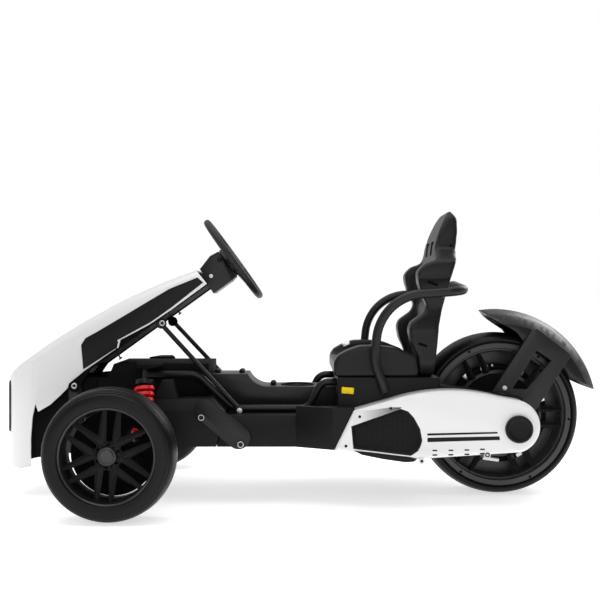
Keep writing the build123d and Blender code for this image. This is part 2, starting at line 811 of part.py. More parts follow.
# Damper towers on the housing, dampers and coil springs
with BuildPart() as tower:
    with BuildSketch(Plane.XY.offset(damper_top_z)):
        with BuildLine():
            Polyline((housing_half_w, damper_y - 2 * tower_half_w),
                     (housing_half_w, damper_y + 2 * tower_half_w),
                     (damper_top_x + tower_half_w, damper_y + tower_half_w),
                     (damper_top_x + tower_half_w, damper_y - tower_half_w), close=True)
        make_face()
    extrude(amount=tower_t)
keep_both("damper_towers", tower)

damper_run = Vector(damper_foot_x - damper_top_x, 0, damper_foot_z - damper_top_z)
damper_l = damper_run.length
damper_plane = Plane((damper_top_x, damper_y, damper_top_z), x_dir=(0, 1, 0), z_dir=damper_run.normalized())
with BuildPart() as damper:
    with BuildSketch(damper_plane):
        Circle(damper_rod_r)
    extrude(amount=damper_l)
    with BuildSketch(damper_plane.offset(damper_seat_at)):
        Circle(damper_seat_r)
    extrude(amount=damper_seat_t)
    with BuildSketch(damper_plane.offset(damper_l - damper_body_l)):
        Circle(damper_body_r)
    extrude(amount=damper_body_l - damper_seat_t)
    with BuildSketch(damper_plane.offset(damper_l - 3 * damper_seat_t)):
        Circle(damper_seat_r)
    extrude(amount=damper_seat_t)
    with BuildSketch(Plane.XY.offset(damper_top_z)):
        with Locations((damper_top_x, damper_y)):
            Rectangle(4 * tower_half_w, 4 * tower_half_w)
    extrude(amount=tower_t, mode=Mode.SUBTRACT)
keep_both("dampers", damper)

spring_l = damper_l - damper_seat_at - 4 * damper_seat_t - 2 * spring_wire_r - 2 * seat_gap
spring_pitch = spring_l / spring_turn_count
spring_plane = damper_plane.offset(damper_seat_at + damper_seat_t + spring_wire_r + seat_gap)
with BuildPart() as spring:
    with BuildLine():
        coil = Helix(pitch=spring_pitch, height=spring_l, radius=spring_r, center=spring_plane.origin,
                     direction=damper_run)
    with BuildSketch(Plane(origin=coil @ 0, z_dir=coil % 0)):
        Rectangle(2 * spring_wire_r, 2 * spring_wire_r)
    sweep(is_frenet=True)
keep_both("coil_springs", spring)

# Column frame: a channel under the shaft with two bearings, hinged at its foot
frame_plane = Plane(origin=(0, *on_column(0, column_drop)), x_dir=(1, 0, 0), z_dir=(0, square_y, square_z))
column_side_points = (on_column(column_frame_top, column_side_rise),
                      on_column(column_frame_top, column_side_drop),
                      on_column(column_frame_foot, column_side_drop),
                      (pivot_y, pivot_z - pivot_lug_r), (pivot_y, pivot_z + pivot_lug_r),
                      on_column(column_frame_foot, column_side_rise))
with BuildPart() as column_frame:
    with BuildSketch(frame_plane):
        with Locations((0, (column_frame_top + column_frame_foot) / 2)):
            Rectangle(2 * column_frame_half_w, column_frame_foot - column_frame_top)
    extrude(amount=column_frame_t)
    for side_x in (-column_frame_half_w, column_frame_half_w - column_side_t):
        add(side_slab(column_side_points, side_x, column_side_t))
        with BuildSketch(Plane.YZ.offset(side_x)):
            with Locations((pivot_y, pivot_z)):
                Circle(pivot_lug_r)
        extrude(amount=column_side_t)
        with BuildSketch(Plane.YZ.offset(side_x)):
            with Locations((strut_top_y, strut_top_z)):
                Circle(strut_lug_r)
        extrude(amount=column_side_t)
    for place in bearing_places:
        with BuildSketch(column_plane.offset(place - bearing_t / 2)):
            with Locations((0, (bearing_top - column_drop) / 2)):
                Rectangle(2 * bearing_half_w, bearing_top + column_drop)
        extrude(amount=bearing_t)
    with BuildSketch(column_plane):
        Circle(shaft_r + running_gap)
    extrude(amount=shaft_l, mode=Mode.SUBTRACT)
    with BuildSketch(Plane.YZ.offset(-hood_half_w)):
        with Locations((pivot_y, pivot_z)):
            Circle(pivot_r + running_gap)
    extrude(amount=2 * hood_half_w, mode=Mode.SUBTRACT)
keep("column_frame", column_frame)

# Hinge bracket: two lugs on the keel with their bolts
lug_x = column_frame_half_w - column_side_t - pivot_lug_t
with BuildPart() as hinge_bracket:
    with BuildSketch(Plane.YZ.offset(lug_x)):
        with Locations((pivot_y, (keel_top_z + pivot_z) / 2)):
            Rectangle(2 * pivot_lug_r, pivot_z - keel_top_z)
        with Locations((pivot_y, pivot_z)):
            Circle(pivot_lug_r)
    extrude(amount=pivot_lug_t)
    with BuildSketch(Plane.YZ.offset(lug_x + pivot_lug_t)):
        with Locations((pivot_y, pivot_z)):
            Circle(pivot_r)
    extrude(amount=column_side_t)
    with BuildSketch(Plane.YZ.offset(column_frame_half_w)):
        with Locations((pivot_y, pivot_z)):
            Circle(pivot_head_r)
    extrude(amount=pivot_head_t)
keep_both("hinge_brackets", hinge_bracket)

# Housing round the top of the column
column_housing_end = column_housing_start + column_housing_l
housing_outline = [on_column(column_housing_start + u * column_housing_l, v * column_housing_drop)
                   for u, v in column_housing_share]
housing_outline += [on_column(column_frame_top - seat_gap, column_housing_drop),
                    on_column(column_frame_top - seat_gap, column_drop), on_column(column_housing_end, column_drop)]
with BuildPart() as column_housing:
    add(side_slab(housing_outline, -column_housing_half_w, 2 * column_housing_half_w))
    with BuildSketch(column_plane):
        Circle(shaft_r + running_gap)
    extrude(amount=shaft_l, mode=Mode.SUBTRACT)
keep("column_housing", column_housing)

# Steering wheel: a round rim, three spokes and a hub
hub_front = -steer_hub_t / 3
hub_back = hub_front + steer_hub_t
with BuildPart() as steering_wheel:
    with BuildSketch(Plane(column_plane.origin, x_dir=(1, 0, 0), z_dir=column_plane.y_dir)):
        with Locations((steer_rim_r, 0)):
            RegularPolygon(steer_grip_r, grip_side_count)
    revolve(axis=Axis(column_plane.origin, column_plane.z_dir))
    with BuildSketch(column_plane.offset(hub_front)):
        Circle(steer_hub_r)
    extrude(amount=steer_hub_t)
    with BuildSketch(column_plane.offset(-steer_spoke_t / 2)):
        for angle in steer_spoke_angles:
            with PolarLocations(steer_rim_r / 2, 1, start_angle=angle):
                Rectangle(steer_rim_r, steer_spoke_w)
    extrude(amount=steer_spoke_t)
keep("steering_wheel", steering_wheel)

# Steering shaft with the crank arm and pin at its foot
with BuildPart() as steering_shaft:
    with BuildSketch(column_plane.offset(hub_back)):
        Circle(shaft_r)
    extrude(amount=shaft_l - hub_back)
    with BuildSketch(column_plane.offset(shaft_l)):
        with Locations((0, pitman_l / 2)):
            SlotCenterToCenter(pitman_l, 2 * pitman_half_w, rotation=90)
    extrude(amount=-pitman_t)
    with BuildSketch(column_plane.offset(shaft_l - pitman_t)):
        with Locations((0, pitman_l)):
            Circle(pitman_pin_r)
    extrude(amount=pitman_pin_l)
keep("steering_shaft", steering_shaft)


# Hood and nose
def front_plan(inset, rear_y):
    """Plan of the hood and nose, pulled in by an inset, as a tall block back to rear_y."""
    half = hood_half_w - inset
    with BuildPart() as plan:
        with BuildSketch():
            with BuildLine():
                ThreePointArc((-half, hood_flank_y), (0, hood_tip_y + inset), (half, hood_flank_y))
                Polyline((half, hood_flank_y), (half, rear_y), (-half, rear_y), (-half, hood_flank_y))
            make_face()
        extrude(amount=2 * hood_top_z)
    return plan.part


def hood_form(inset):
    """The hood's outer form, pulled in by an inset: a round top line with rounded long edges."""
    half = hood_half_w - inset
    with BuildPart() as form:
        with BuildSketch(Plane.YZ.offset(-half)):
            with BuildLine():
                ThreePointArc((hood_tip_y, hood_tip_z - inset), (hood_crown_y, hood_crown_z - inset),
                              (hood_end_y, hood_top_z - inset))
                Polyline((hood_end_y, hood_top_z - inset), (hood_rear_y + overrun, hood_top_z - inset),
                         (hood_rear_y + overrun, 0), (hood_tip_y, 0), (hood_tip_y, hood_tip_z - inset))
            make_face()
        extrude(amount=2 * half)
        fillet(form.edges().filter_by(GeomType.CIRCLE), hood_edge_r - inset)
        add(front_plan(inset, hood_rear_y + 2 * overrun), mode=Mode.INTERSECT)
    return form.part


nose_rear = spread(nose_share, nose_low, nose_high)
nose_belly = spread((nose_belly_share,), nose_low, nose_high)[0]
with BuildPart() as hood:
    with BuildSketch(Plane.YZ.offset(-hood_half_w)):
        with BuildLine():
            Polyline(hood_low, (hood_tip_y, hood_top_z + overrun), (hood_end_y, hood_top_z + overrun),
                     (hood_end_y, hood_top_z), *spread(hood_foot_share, hood_low, hood_high), *nose_rear)
            ThreePointArc(nose_rear[-1], nose_belly, hood_low)
        make_face()
    extrude(amount=2 * hood_half_w)
    add(hood_form(0), mode=Mode.INTERSECT)
    add(hood_form(hood_wall), mode=Mode.SUBTRACT)
keep("hood", hood)

with BuildPart() as inset_panel:
    add(side_slab(spread(inset_share, hood_low, hood_high), hood_half_w, inset_t))
keep_both("hood_insets", inset_panel)

insert_h = hood_seam_z - insert_foot_z
with BuildPart() as nose_insert:
    with BuildSketch(Plane.XZ.offset(-hood_flank_y)):
        with Locations((0, insert_foot_z + insert_h / 2)):
            RectangleRounded(2 * insert_half_w, insert_h, insert_edge_r)
    extrude(amount=hood_flank_y - hood_tip_y + overrun)
    add(front_plan(-insert_out, hood_rear_y), mode=Mode.INTERSECT)
    add(front_plan(-seat_gap, hood_rear_y), mode=Mode.SUBTRACT)
keep("nose_insert", nose_insert)

cheek_out_x = hood_half_w - cheek_in
cheek_knee = spread((nose_share[4],), nose_low, nose_high)[0]
cheek_points = ((backing_y, backing_foot_z), (backing_y, backing_top_z), cheek_knee,
                (pivot_y - pivot_lug_r, pivot_z + pivot_lug_r), (cheek_rear_y, cheek_top_z),
                (cheek_rear_y, keel_top_z + seat_gap), (keel_front_y - seat_gap, keel_top_z + seat_gap),
                (keel_front_y - seat_gap, keel_foot_z))
with BuildPart() as nose_backing:
    with BuildSketch(Plane.XZ.offset(-backing_y)):
        with Locations((0, (backing_foot_z + backing_top_z) / 2)):
            Rectangle(2 * hood_half_w, backing_top_z - backing_foot_z)
    extrude(amount=backing_t)
    add(front_plan(hood_wall + seat_gap, hood_rear_y), mode=Mode.INTERSECT)
    for cheek_x in (cheek_t - cheek_out_x, cheek_out_x):
        add(side_slab(cheek_points, cheek_x - cheek_t, cheek_t))
keep("nose_backing", nose_backing)

# Frame rails: level beside the housing, down to the floor and up to the seat base
rail_points = ((rail_x, rail_front_y, rail_high_z), (rail_x, rail_drop_y, rail_high_z),
               (rail_x, rail_land_y, rail_low_z), (rail_x, rail_rise_y, rail_low_z),
               (rail_x, rail_top_y, rail_seat_z), (rail_x, seat_base_front_y, rail_seat_z))
with BuildPart() as frame_rail:
    with BuildLine():
        rail_path = FilletPolyline(*rail_points, radius=(rail_long_bend_r, rail_long_bend_r,
                                                         rail_short_bend_r, rail_short_bend_r))
    with BuildSketch(Plane(origin=rail_path @ 0, z_dir=rail_path % 0)):
        Circle(rail_r)
    sweep()
keep_pair("frame_rail", frame_rail)

# Struts from eyes beside the rails up to eyes on the column frame
strut_ends = ((column_frame_half_w, strut_top_y, strut_top_z),
              (rail_x + rail_r + seat_gap, strut_foot_y, rail_low_z))
with BuildPart() as hood_strut:
    for eye_x, eye_y, eye_z in strut_ends:
        with BuildSketch(Plane.YZ.offset(eye_x)):
            with Locations((eye_y, eye_z)):
                Circle(strut_eye_r)
        extrude(amount=strut_eye_t)
    with BuildLine():
        strut_line = Line(*[(x + strut_eye_t / 2, y, z) for x, y, z in strut_ends])
    with BuildSketch(Plane(origin=strut_line @ 0, z_dir=strut_line % 0)):
        Circle(strut_r)
    sweep()
keep_both("hood_struts", hood_strut)

# Link arms with their ribs and bolts
link_front = (link_front_y, link_front_z)
link_rear = (link_rear_y, link_rear_z)


def link_layer(x, depth, rise, inset):
    """A layer of the link arm: the hull of its two round ends, moved up and pulled in."""
    with BuildPart() as layer:
        with BuildSketch(Plane.YZ.offset(x)):
            for (end_y, end_z), end_r in ((link_front, link_front_r), (link_rear, link_rear_r)):
                with Locations((end_y, end_z + rise)):
                    Circle(end_r - inset)
            make_hull()
        extrude(amount=depth)
    return layer.part


with BuildPart() as link_arm:
    add(link_layer(body_half_w, link_t, 0, 0))
    add(link_layer(body_half_w + link_t, link_rib_t, link_rib_rise, link_rib_in))
    for place in (link_bolt_front, link_bolt_rear):
        with BuildSketch(Plane.YZ.offset(body_half_w + link_t)):
            with Locations(place):
                Circle(link_bolt_r)
        extrude(amount=link_bolt_t)
        with BuildSketch(Plane.YZ.offset(body_half_w + link_t + link_bolt_t)):
            with Locations(place):
                Circle(link_bolt_bore_r)
        extrude(amount=-link_bolt_t / 2, mode=Mode.SUBTRACT)
keep_both("link_arms", link_arm)

# Pedals
pedal_points = ((pedal_front_y, floor_high_z), (pedal_top_y, pedal_top_z),
                (pedal_top_y + pedal_half_w, pedal_top_z), (pedal_rear_y, floor_high_z))
with BuildPart() as pedal:
    add(side_slab(pedal_points, pedal_x - pedal_half_w, 2 * pedal_half_w))
keep_both("pedals", pedal)

# Seat cushion with raised sides
cushion_foot_z = seat_base_top_z + seat_gap
with BuildPart() as seat_cushion:
    add(side_slab(spread(cushion_share, (cushion_front_y, cushion_foot_z), (cushion_rear_y, cushion_top_z)),
                  -cushion_half_w, 2 * cushion_half_w, cushion_round_r))
    with BuildSketch(Plane.XY.offset(cushion_pan_z)):
        with Locations((0, (cushion_front_y + cushion_rear_y) / 2)):
            Rectangle(2 * (cushion_half_w - bolster_w), 2 * cushion_half_w)
    extrude(amount=cushion_top_z, mode=Mode.SUBTRACT)
keep("seat_cushion", seat_cushion)

# Seat back: a shaped panel with raised sides, cut by its outline from the front
half_outline = [(u * back_half_w, back_foot_z + v * (back_top_z - back_foot_z)) for u, v in back_width_share]
with BuildPart() as back_outline:
    with BuildSketch(Plane.XZ):
        with BuildLine():
            Polyline(*half_outline, *[(-x, z) for x, z in reversed(half_outline)], close=True)
        make_face()
        offset(amount=-2 * back_round_r, mode=Mode.REPLACE)
        offset(amount=2 * back_round_r, mode=Mode.REPLACE)
    extrude(amount=-2 * back_rear_y)
with BuildPart() as seat_back:
    add(side_slab(spread(back_rear_share + pan_front_share, back_low, back_high),
                  -back_half_w, 2 * back_half_w))
    for side_x in (-back_half_w, back_pan_half_w):
        add(side_slab(spread(back_rear_share[3:] + bolster_front_share, back_low, back_high),
                      side_x, back_bolster_w, back_round_r))
    add(back_outline.part, mode=Mode.INTERSECT)
    add(wheel_well(), mode=Mode.SUBTRACT)
keep("seat_back", seat_back)

# Armrest hoop round the back of the seat
hoop_side = ((hoop_foot_y, hoop_foot_z), (hoop_knee_y, hoop_knee_z), (hoop_top_y, hoop_top_z),
             (hoop_rear_y, hoop_rear_z))
hoop_bends = (hoop_knee_bend_r, hoop_top_bend_r, hoop_rear_bend_r)
hoop_middle = (0, hoop_rear_y, hoop_rear_z + hoop_arch)
hoop_points = ([(hoop_x, y, z) for y, z in hoop_side] + [hoop_middle]
               + [(-hoop_x, y, z) for y, z in reversed(hoop_side)])
with BuildPart() as armrest_hoop:
    with BuildLine():
        hoop_path = FilletPolyline(*hoop_points, radius=(*hoop_bends, hoop_arch_bend_r, *reversed(hoop_bends)))
    with BuildSketch(Plane(origin=hoop_path @ 0, z_dir=hoop_path % 0)):
        Circle(hoop_r)
    sweep()
keep("armrest_hoop", armrest_hoop)

# Side covers: hollow shells against the seat base, with a grille opening
def cover_form(inset):
    """The cover's outer form with its outer edge rounded, pulled in by an inset."""
    with BuildPart() as form:
        with BuildSketch(Plane.YZ.offset(body_half_w)):
            with BuildLine():
                draw_outline(cover_start_share, cover_line_share, cover_low, cover_high)
            make_face()
            if inset:
                offset(amount=-inset, kind=Kind.INTERSECTION, mode=Mode.REPLACE)
        extrude(amount=cover_depth - inset)
        fillet(form.faces().sort_by(Axis.X)[-1].edges(), cover_edge_r - inset)
    return form.part


grille_points = spread(grille_share, cover_low, cover_high)
with BuildPart() as side_cover:
    add(cover_form(0))
    add(cover_form(cover_wall), mode=Mode.SUBTRACT)
    add(side_slab(grille_points, body_half_w, cover_x), mode=Mode.SUBTRACT)
keep_pair("side_cover", side_cover)

with BuildPart() as grille:
    with BuildSketch(Plane.YZ.offset(cover_x - cover_wall - seat_gap - grille_t)):
        with BuildLine():
            Polyline(*grille_points, close=True)
        make_face()
        offset(amount=2 * cover_wall, mode=Mode.REPLACE)
    extrude(amount=grille_t)
    add(cover_form(cover_wall + seat_gap), mode=Mode.INTERSECT)
keep_both("side_grilles", grille)

with BuildPart() as cover_cap:
    with BuildSketch(Plane.YZ.offset(cover_x)):
        with Locations((cap_y, cap_z)):
            Circle(cap_r)
    extrude(amount=cap_t)
    chamfer(cover_cap.faces().sort_by(Axis.X)[-1].edges(), cap_edge)
keep_both("cover_caps", cover_cap)


# Fender over the rear wheel, and its brackets down to the axle
def round_axle(angle, radius):
    """Y and Z of a point round the rear axle, from an angle above the rearward level."""
    return (rear_wheel_y + radius * cos(radians(angle)), rear_wheel_r + radius * sin(radians(angle)))


def fender_form(inset):
    """The fender's outer form as a whole wheel with a ridge and sloping sides, pulled in by an inset."""
    section = [(u * (fender_half_w - inset), v * (fender_r - inset)) for u, v in fender_section_share]
    with BuildPart() as form:
        with BuildSketch(wheel_plane(0, rear_wheel_y, rear_wheel_r)):
            with BuildLine():
                Polyline((0, 0), *section, *[(-u, v) for u, v in reversed(section[:-1])], close=True)
            make_face()
        revolve(axis=Axis((0, rear_wheel_y, rear_wheel_r), (1, 0, 0)))
    return form.part


fender_front = round_axle(fender_start_angle, fender_r)
fender_tail = round_axle(fender_end_angle, fender_r)
fender_corner = round_axle((fender_start_angle + fender_end_angle) / 2, 2 * fender_r)
skirt = [round_axle(angle, share * fender_r) for angle, share in fender_skirt_angle_share]
with BuildPart() as fender:
    add(fender_form(0))
    add(side_slab([fender_front, *skirt, fender_tail, (fender_tail[0], fender_corner[1]),
                   (fender_front[0], fender_corner[1])], -fender_half_w, 2 * fender_half_w),
        mode=Mode.INTERSECT)
    add(fender_form(fender_wall), mode=Mode.SUBTRACT)
    with BuildSketch(Plane.XY.offset(rear_wheel_r)):
        for way in (-1, 1):
            with BuildLine():
                Polyline((0, fender_front[0]), (way * (fender_half_w + overrun), fender_front[0] - overrun),
                         (way * (fender_half_w + overrun), fender_front[0] + fender_tip_back),
                         (way * fender_half_w, fender_front[0] + fender_tip_back), close=True)
            make_face()
    extrude(amount=2 * fender_r, mode=Mode.SUBTRACT)
keep("fender", fender)

with BuildPart() as fender_bracket:
    add(side_slab(spread(bracket_share, bracket_low, bracket_high), fender_half_w, fender_bracket_t))
    add(side_slab(spread(bracket_window_share, bracket_low, bracket_high), fender_half_w, fender_bracket_t),
        mode=Mode.SUBTRACT)
    with BuildSketch(Plane.YZ.offset(fender_half_w)):
        with Locations((rear_wheel_y, rear_wheel_r)):
            Circle(rear_axle_r + running_gap)
    extrude(amount=fender_bracket_t, mode=Mode.SUBTRACT)
keep_both("fender_brackets", fender_bracket)

# Reflectors on the seat base
with BuildPart() as reflector:
    with BuildSketch(Plane.YZ.offset(body_half_w)):
        with Locations((reflector_y + reflector_w / 2, reflector_z + reflector_h / 2)):
            Rectangle(reflector_w, reflector_h, rotation=-reflector_lean)
    extrude(amount=reflector_t)
keep_both("reflectors", reflector)
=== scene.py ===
"""The looks of a child's electric racing kart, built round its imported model."""

import json
from functools import partialmethod
from math import cos, hypot, pi, radians, sin

import bmesh
import bpy
from mathutils import Matrix, Vector
from mathutils.bvhtree import BVHTree


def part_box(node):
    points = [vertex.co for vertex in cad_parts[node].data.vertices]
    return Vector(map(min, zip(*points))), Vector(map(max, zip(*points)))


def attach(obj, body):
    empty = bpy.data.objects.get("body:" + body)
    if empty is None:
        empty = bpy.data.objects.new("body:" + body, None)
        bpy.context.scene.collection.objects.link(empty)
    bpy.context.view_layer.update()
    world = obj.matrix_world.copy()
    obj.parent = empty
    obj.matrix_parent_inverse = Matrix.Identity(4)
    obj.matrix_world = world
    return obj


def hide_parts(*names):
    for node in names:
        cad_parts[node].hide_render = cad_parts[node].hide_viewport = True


bl_info = {
    "name": "Racing kart looks",
    "version": (1, 0, 0),
    "blender": (4, 5, 0),
    "location": "3D View > Sidebar > Kart",
    "description": "Finishes and detailed pieces for a child's racing kart",
    "category": "Object",
}

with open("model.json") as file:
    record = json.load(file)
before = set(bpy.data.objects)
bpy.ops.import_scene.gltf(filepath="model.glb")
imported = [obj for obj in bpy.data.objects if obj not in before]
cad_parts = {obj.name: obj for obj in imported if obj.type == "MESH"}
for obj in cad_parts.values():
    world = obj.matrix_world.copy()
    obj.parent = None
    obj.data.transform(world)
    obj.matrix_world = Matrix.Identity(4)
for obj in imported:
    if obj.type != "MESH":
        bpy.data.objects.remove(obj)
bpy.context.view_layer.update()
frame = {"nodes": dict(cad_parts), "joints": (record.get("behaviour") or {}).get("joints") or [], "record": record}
NODES = frame["nodes"]
SLOT_OF = {part["node"]: part["material_slot"] for part in frame["record"]["subparts"]}
BODIES = frame["record"]["behaviour"]["bodies"]
BODY_OF = {node: body for body, members in BODIES.items() for node in members}
STEERING = next(joint for joint in frame["joints"] if joint["name"] == "steering_turn")
SIDES = (("left", 1), ("right", -1))
MM = 0.001

# How far out a line cast at a piece starts, in millimetres
FAR = 1000
# Edges that turn more than the first are rounded, and less than the second dissolved
SHARP_TURN, FLAT_TURN = radians(26), radians(0.6)
# Distances for merging the points of a CAD mesh and of a turned piece
CAD_WELD, LATHE_WELD = 2e-6, 1e-6


# Shader maths

class Number:
    """A number in a material's nodes. Sums and products of numbers add Math nodes."""

    def __init__(self, paint, socket):
        self.paint = paint
        self.socket = socket

    def _math(self, operation, *others, clamp=False):
        settings = {"operation": operation, "use_clamp": clamp}
        return Number(self.paint, self.paint.node("ShaderNodeMath", settings, self, *others).outputs[0])

    __add__ = partialmethod(_math, "ADD")
    __sub__ = partialmethod(_math, "SUBTRACT")
    __mul__ = partialmethod(_math, "MULTIPLY")
    __truediv__ = partialmethod(_math, "DIVIDE")
    __pow__ = partialmethod(_math, "POWER")
    sine = partialmethod(_math, "SINE")
    size = partialmethod(_math, "ABSOLUTE")

    def over(self, edge, width):
        """0 below an edge and 1 above it, with a soft step of a width."""
        return self._math("MULTIPLY_ADD", 1 / width, 0.5 - edge / width, clamp=True)


class Paint:
    """A material made of nodes round one Principled shader."""

    def __init__(self, name):
        self.material = bpy.data.materials.new(f"kart_{name}")
        self.material.use_nodes = True
        self.tree = self.material.node_tree
        self.shader = next(node for node in self.tree.nodes if node.type == "BSDF_PRINCIPLED")
        self.place = self.node("ShaderNodeTexCoord", {}).outputs["Object"]

    def node(self, kind, settings, *values, **named):
        """A node with its settings made first, then its inputs by place or by name."""
        node = self.tree.nodes.new(kind)
        for key, value in settings.items():
            setattr(node, key, value)
        for key, value in [*enumerate(values), *named.items()]:
            target = node.inputs[key.replace("_", " ") if isinstance(key, str) else key]
            self.feed(target, value)
        return node

    def feed(self, target, value):
        """Link a socket or a number's socket to a target, or set the target's own value."""
        if isinstance(value, Number):
            value = value.socket
        if isinstance(value, bpy.types.NodeSocket):
            self.tree.links.new(value, target)
        elif isinstance(value, (tuple, list)) and target.type == "RGBA":
            target.default_value = (*value[:3], 1)
        else:
            target.default_value = value

    def set(self, **values):
        """Feed the Principled shader's sockets, named with underscores."""
        for name, value in values.items():
            self.feed(self.shader.inputs[name.replace("_", " ")], value)

    def axis(self, which):
        """One coordinate of the surface point, in metres."""
        parts = self.node("ShaderNodeSeparateXYZ", {}, self.place)
        return Number(self, parts.outputs["XYZ".index(which)])

    def noise(self, scale, detail=2.0, roughness=0.5):
        """Soft noise from 0 to 1, with a number of cells to the metre."""
        node = self.node("ShaderNodeTexNoise", {}, Vector=self.place, Scale=scale, Detail=detail,
                         Roughness=roughness)
        return Number(self, node.outputs["Fac"])

    def cells(self, scale, feature="F1"):
        """Distance to the nearest of many scattered points, with a number of cells to the metre."""
        node = self.node("ShaderNodeTexVoronoi", {"feature": feature}, Vector=self.place, Scale=scale)
        return Number(self, node.outputs["Distance"])

    def edges(self, gain):
        """More on outer edges and less in hollows, round zero; fed into a colour, it paints highlight and wear on
        edges and shade in hollows.
        """
        point = Number(self, self.node("ShaderNodeNewGeometry", {}).outputs["Pointiness"])
        return (point - 0.5) * gain

    def between(self, share, low, high):
        """A colour between two, by a share."""
        node = self.node("ShaderNodeMix", {"data_type": "RGBA", "clamp_factor": True})
        self.feed(node.inputs["Factor"], share)
        self.feed(node.inputs[6], low)
        self.feed(node.inputs[7], high)
        return node.outputs[2]

    def bump(self, height, strength, distance):
        """Feed a height to the shader as small relief."""
        node = self.node("ShaderNodeBump", {}, Strength=strength, Distance=distance, Height=height)
        self.feed(self.shader.inputs["Normal"], node.outputs["Normal"])


def look_of(name):
    """The finish made for a material slot."""
    return bpy.data.materials[f"kart_{name}"]


def shade(colour, factor):
    """A colour made lighter or darker."""
    return tuple(min(1.0, part * factor) for part in colour)


def moulded(name, colour, roughness, grain, grain_depth, edge_light, shine):
    """Moulded plastic: cloudy tone, fine grain, edges painted paler as highlight and wear, hollows painted darker
    as shade, and uneven gloss.
    """
    paint = Paint(name)
    clouds = paint.noise(9.0, 3.0)
    # Painted highlight and wear on outer edges, and painted shade in hollows
    painted_edge_light_and_wear = paint.edges(7.0) * edge_light
    tone = paint.between(clouds + painted_edge_light_and_wear, shade(colour, 0.7), shade(colour, 1.35))
    scuffs = paint.noise(70.0, 4.0, 0.7)
    paint.set(Base_Color=tone, Roughness=scuffs * 0.14 + (roughness - 0.07), Specular_IOR_Level=shine)
    relief = paint.noise(grain, 3.0, 0.6) + paint.cells(grain * 0.6) * 0.6
    paint.bump(relief, 0.5, grain_depth)


def gloss_white(name, colour):
    """White gloss moulding with a slight orange peel."""
    paint = Paint(name)
    clouds = paint.noise(5.0, 2.0)
    tone = paint.between(clouds, shade(colour, 0.992), shade(colour, 1.004))
    gloss = paint.noise(24.0, 3.0) * 0.04 + 0.28
    paint.set(Base_Color=tone, Roughness=gloss, Coat_Weight=0.25, Coat_Roughness=0.12)
    paint.bump(paint.noise(110.0, 1.0), 0.04, 0.0002)


def powder_coat(name, colour, roughness):
    """Sprayed powder on steel: fine pebbles under a satin gloss."""
    paint = Paint(name)
    # Painted highlight and wear on outer edges, and painted shade in hollows
    painted_edge_light_and_wear = paint.edges(6.0)
    tone = paint.between(paint.noise(14.0, 2.0) + painted_edge_light_and_wear, shade(colour, 0.75), shade(colour, 1.4))
    gloss = paint.noise(90.0, 2.0) * 0.12 + (roughness - 0.06)
    paint.set(Base_Color=tone, Roughness=gloss, Specular_IOR_Level=0.28)
    paint.bump(paint.noise(900.0, 1.0), 0.25, 0.0003)


def rubber(name, colour):
    """Tyre compound: dull, a little dusty, with a fine matte grain."""
    paint = Paint(name)
    dust = paint.noise(18.0, 5.0, 0.65)
    tone = paint.between(dust ** 2.0, colour, shade(colour, 1.6))
    paint.set(Base_Color=tone, Roughness=paint.noise(60.0, 3.0) * 0.12 + 0.36, Specular_IOR_Level=0.2)
    paint.bump(paint.noise(900.0, 2.0) + paint.noise(120.0, 2.0) * 0.5, 0.2, 0.0001)


def steel(name, colour, roughness):
    """Zinc plated steel with a faint brushing."""
    paint = Paint(name)
    stretched = paint.node("ShaderNodeMapping", {}, Vector=paint.place, Scale=(900.0, 40.0, 40.0))
    noise = paint.node("ShaderNodeTexNoise", {}, Vector=stretched.outputs[0], Scale=1.0)
    streaks = Number(paint, noise.outputs["Fac"])
    tone = paint.between(streaks, shade(colour, 0.8), shade(colour, 1.1))
    paint.set(Base_Color=tone, Roughness=streaks * 0.2 + (roughness - 0.1), Metallic=1.0)
    paint.bump(streaks, 0.1, 0.0002)


def red_spring(name, colour):
    """Glossy red powder on spring wire."""
    paint = Paint(name)
    # The tone takes painted highlight and wear on outer edges and painted shade in hollows
    tone = paint.between(paint.noise(40.0, 3.0) + paint.edges(5.0), shade(colour, 0.75), shade(colour, 1.15))
    paint.set(Base_Color=tone, Roughness=paint.noise(120.0, 2.0) * 0.1 + 0.24, Specular_IOR_Level=0.3)
    paint.bump(paint.noise(700.0, 1.0), 0.2, 0.0002)


def grip(name, colour):
    """Soft grip cover with close dimples."""
    paint = Paint(name)
    dimples = paint.cells(420.0)
    # The tone takes painted highlight and wear on outer edges and painted shade in hollows
    tone = paint.between(paint.noise(30.0, 3.0) + paint.edges(4.0), shade(colour, 0.8), shade(colour, 1.3))
    paint.set(Base_Color=tone, Roughness=dimples * 0.2 + 0.36, Specular_IOR_Level=0.3)
    paint.bump(dimples, 0.35, 0.0004)


def perforated(name, colour, pitch):
    """Black panel pressed with rows of small square holes, painted paler on the holes and near black between them
    as painted light and shade.
    """
    paint = Paint(name)
    rows, columns = ((paint.axis(axis) * (2 * pi / pitch)).sine() for axis in "YZ")
    holes = (rows * columns).size().over(0.3, 0.25)
    # Painted light on the holes and painted shade on the web between them
    tone = paint.between(holes, shade(colour, 0.05), shade(colour, 3.2))
    paint.set(Base_Color=tone, Roughness=paint.noise(60.0, 2.0) * 0.1 + 0.45, Specular_IOR_Level=0.1)
    paint.bump(holes, 0.6, 0.0012)


def facet(name, dark, pale, low, high):
    """Recessed wall of a white cover, with painted shade that falls from pale to dark along the kart."""
    paint = Paint(name)
    along = (paint.axis("Y") - low) / (high - low)
    tone = paint.between(along + (paint.noise(20.0, 2.0) - 0.5) * 0.1, pale, dark)
    paint.set(Base_Color=tone, Roughness=paint.noise(50.0, 2.0) * 0.1 + 0.35)
    paint.bump(paint.noise(110.0, 1.0), 0.1, 0.0003)


def reflector(name, colour):
    """Amber reflector with small prisms behind its face."""
    paint = Paint(name)
    prisms = paint.cells(360.0, "F2")
    tone = paint.between(prisms, shade(colour, 0.7), shade(colour, 1.25))
    paint.set(Base_Color=tone, Roughness=prisms * 0.12 + 0.2, Specular_IOR_Level=0.2)
    paint.bump(prisms, 0.5, 0.0008)


# Shapes

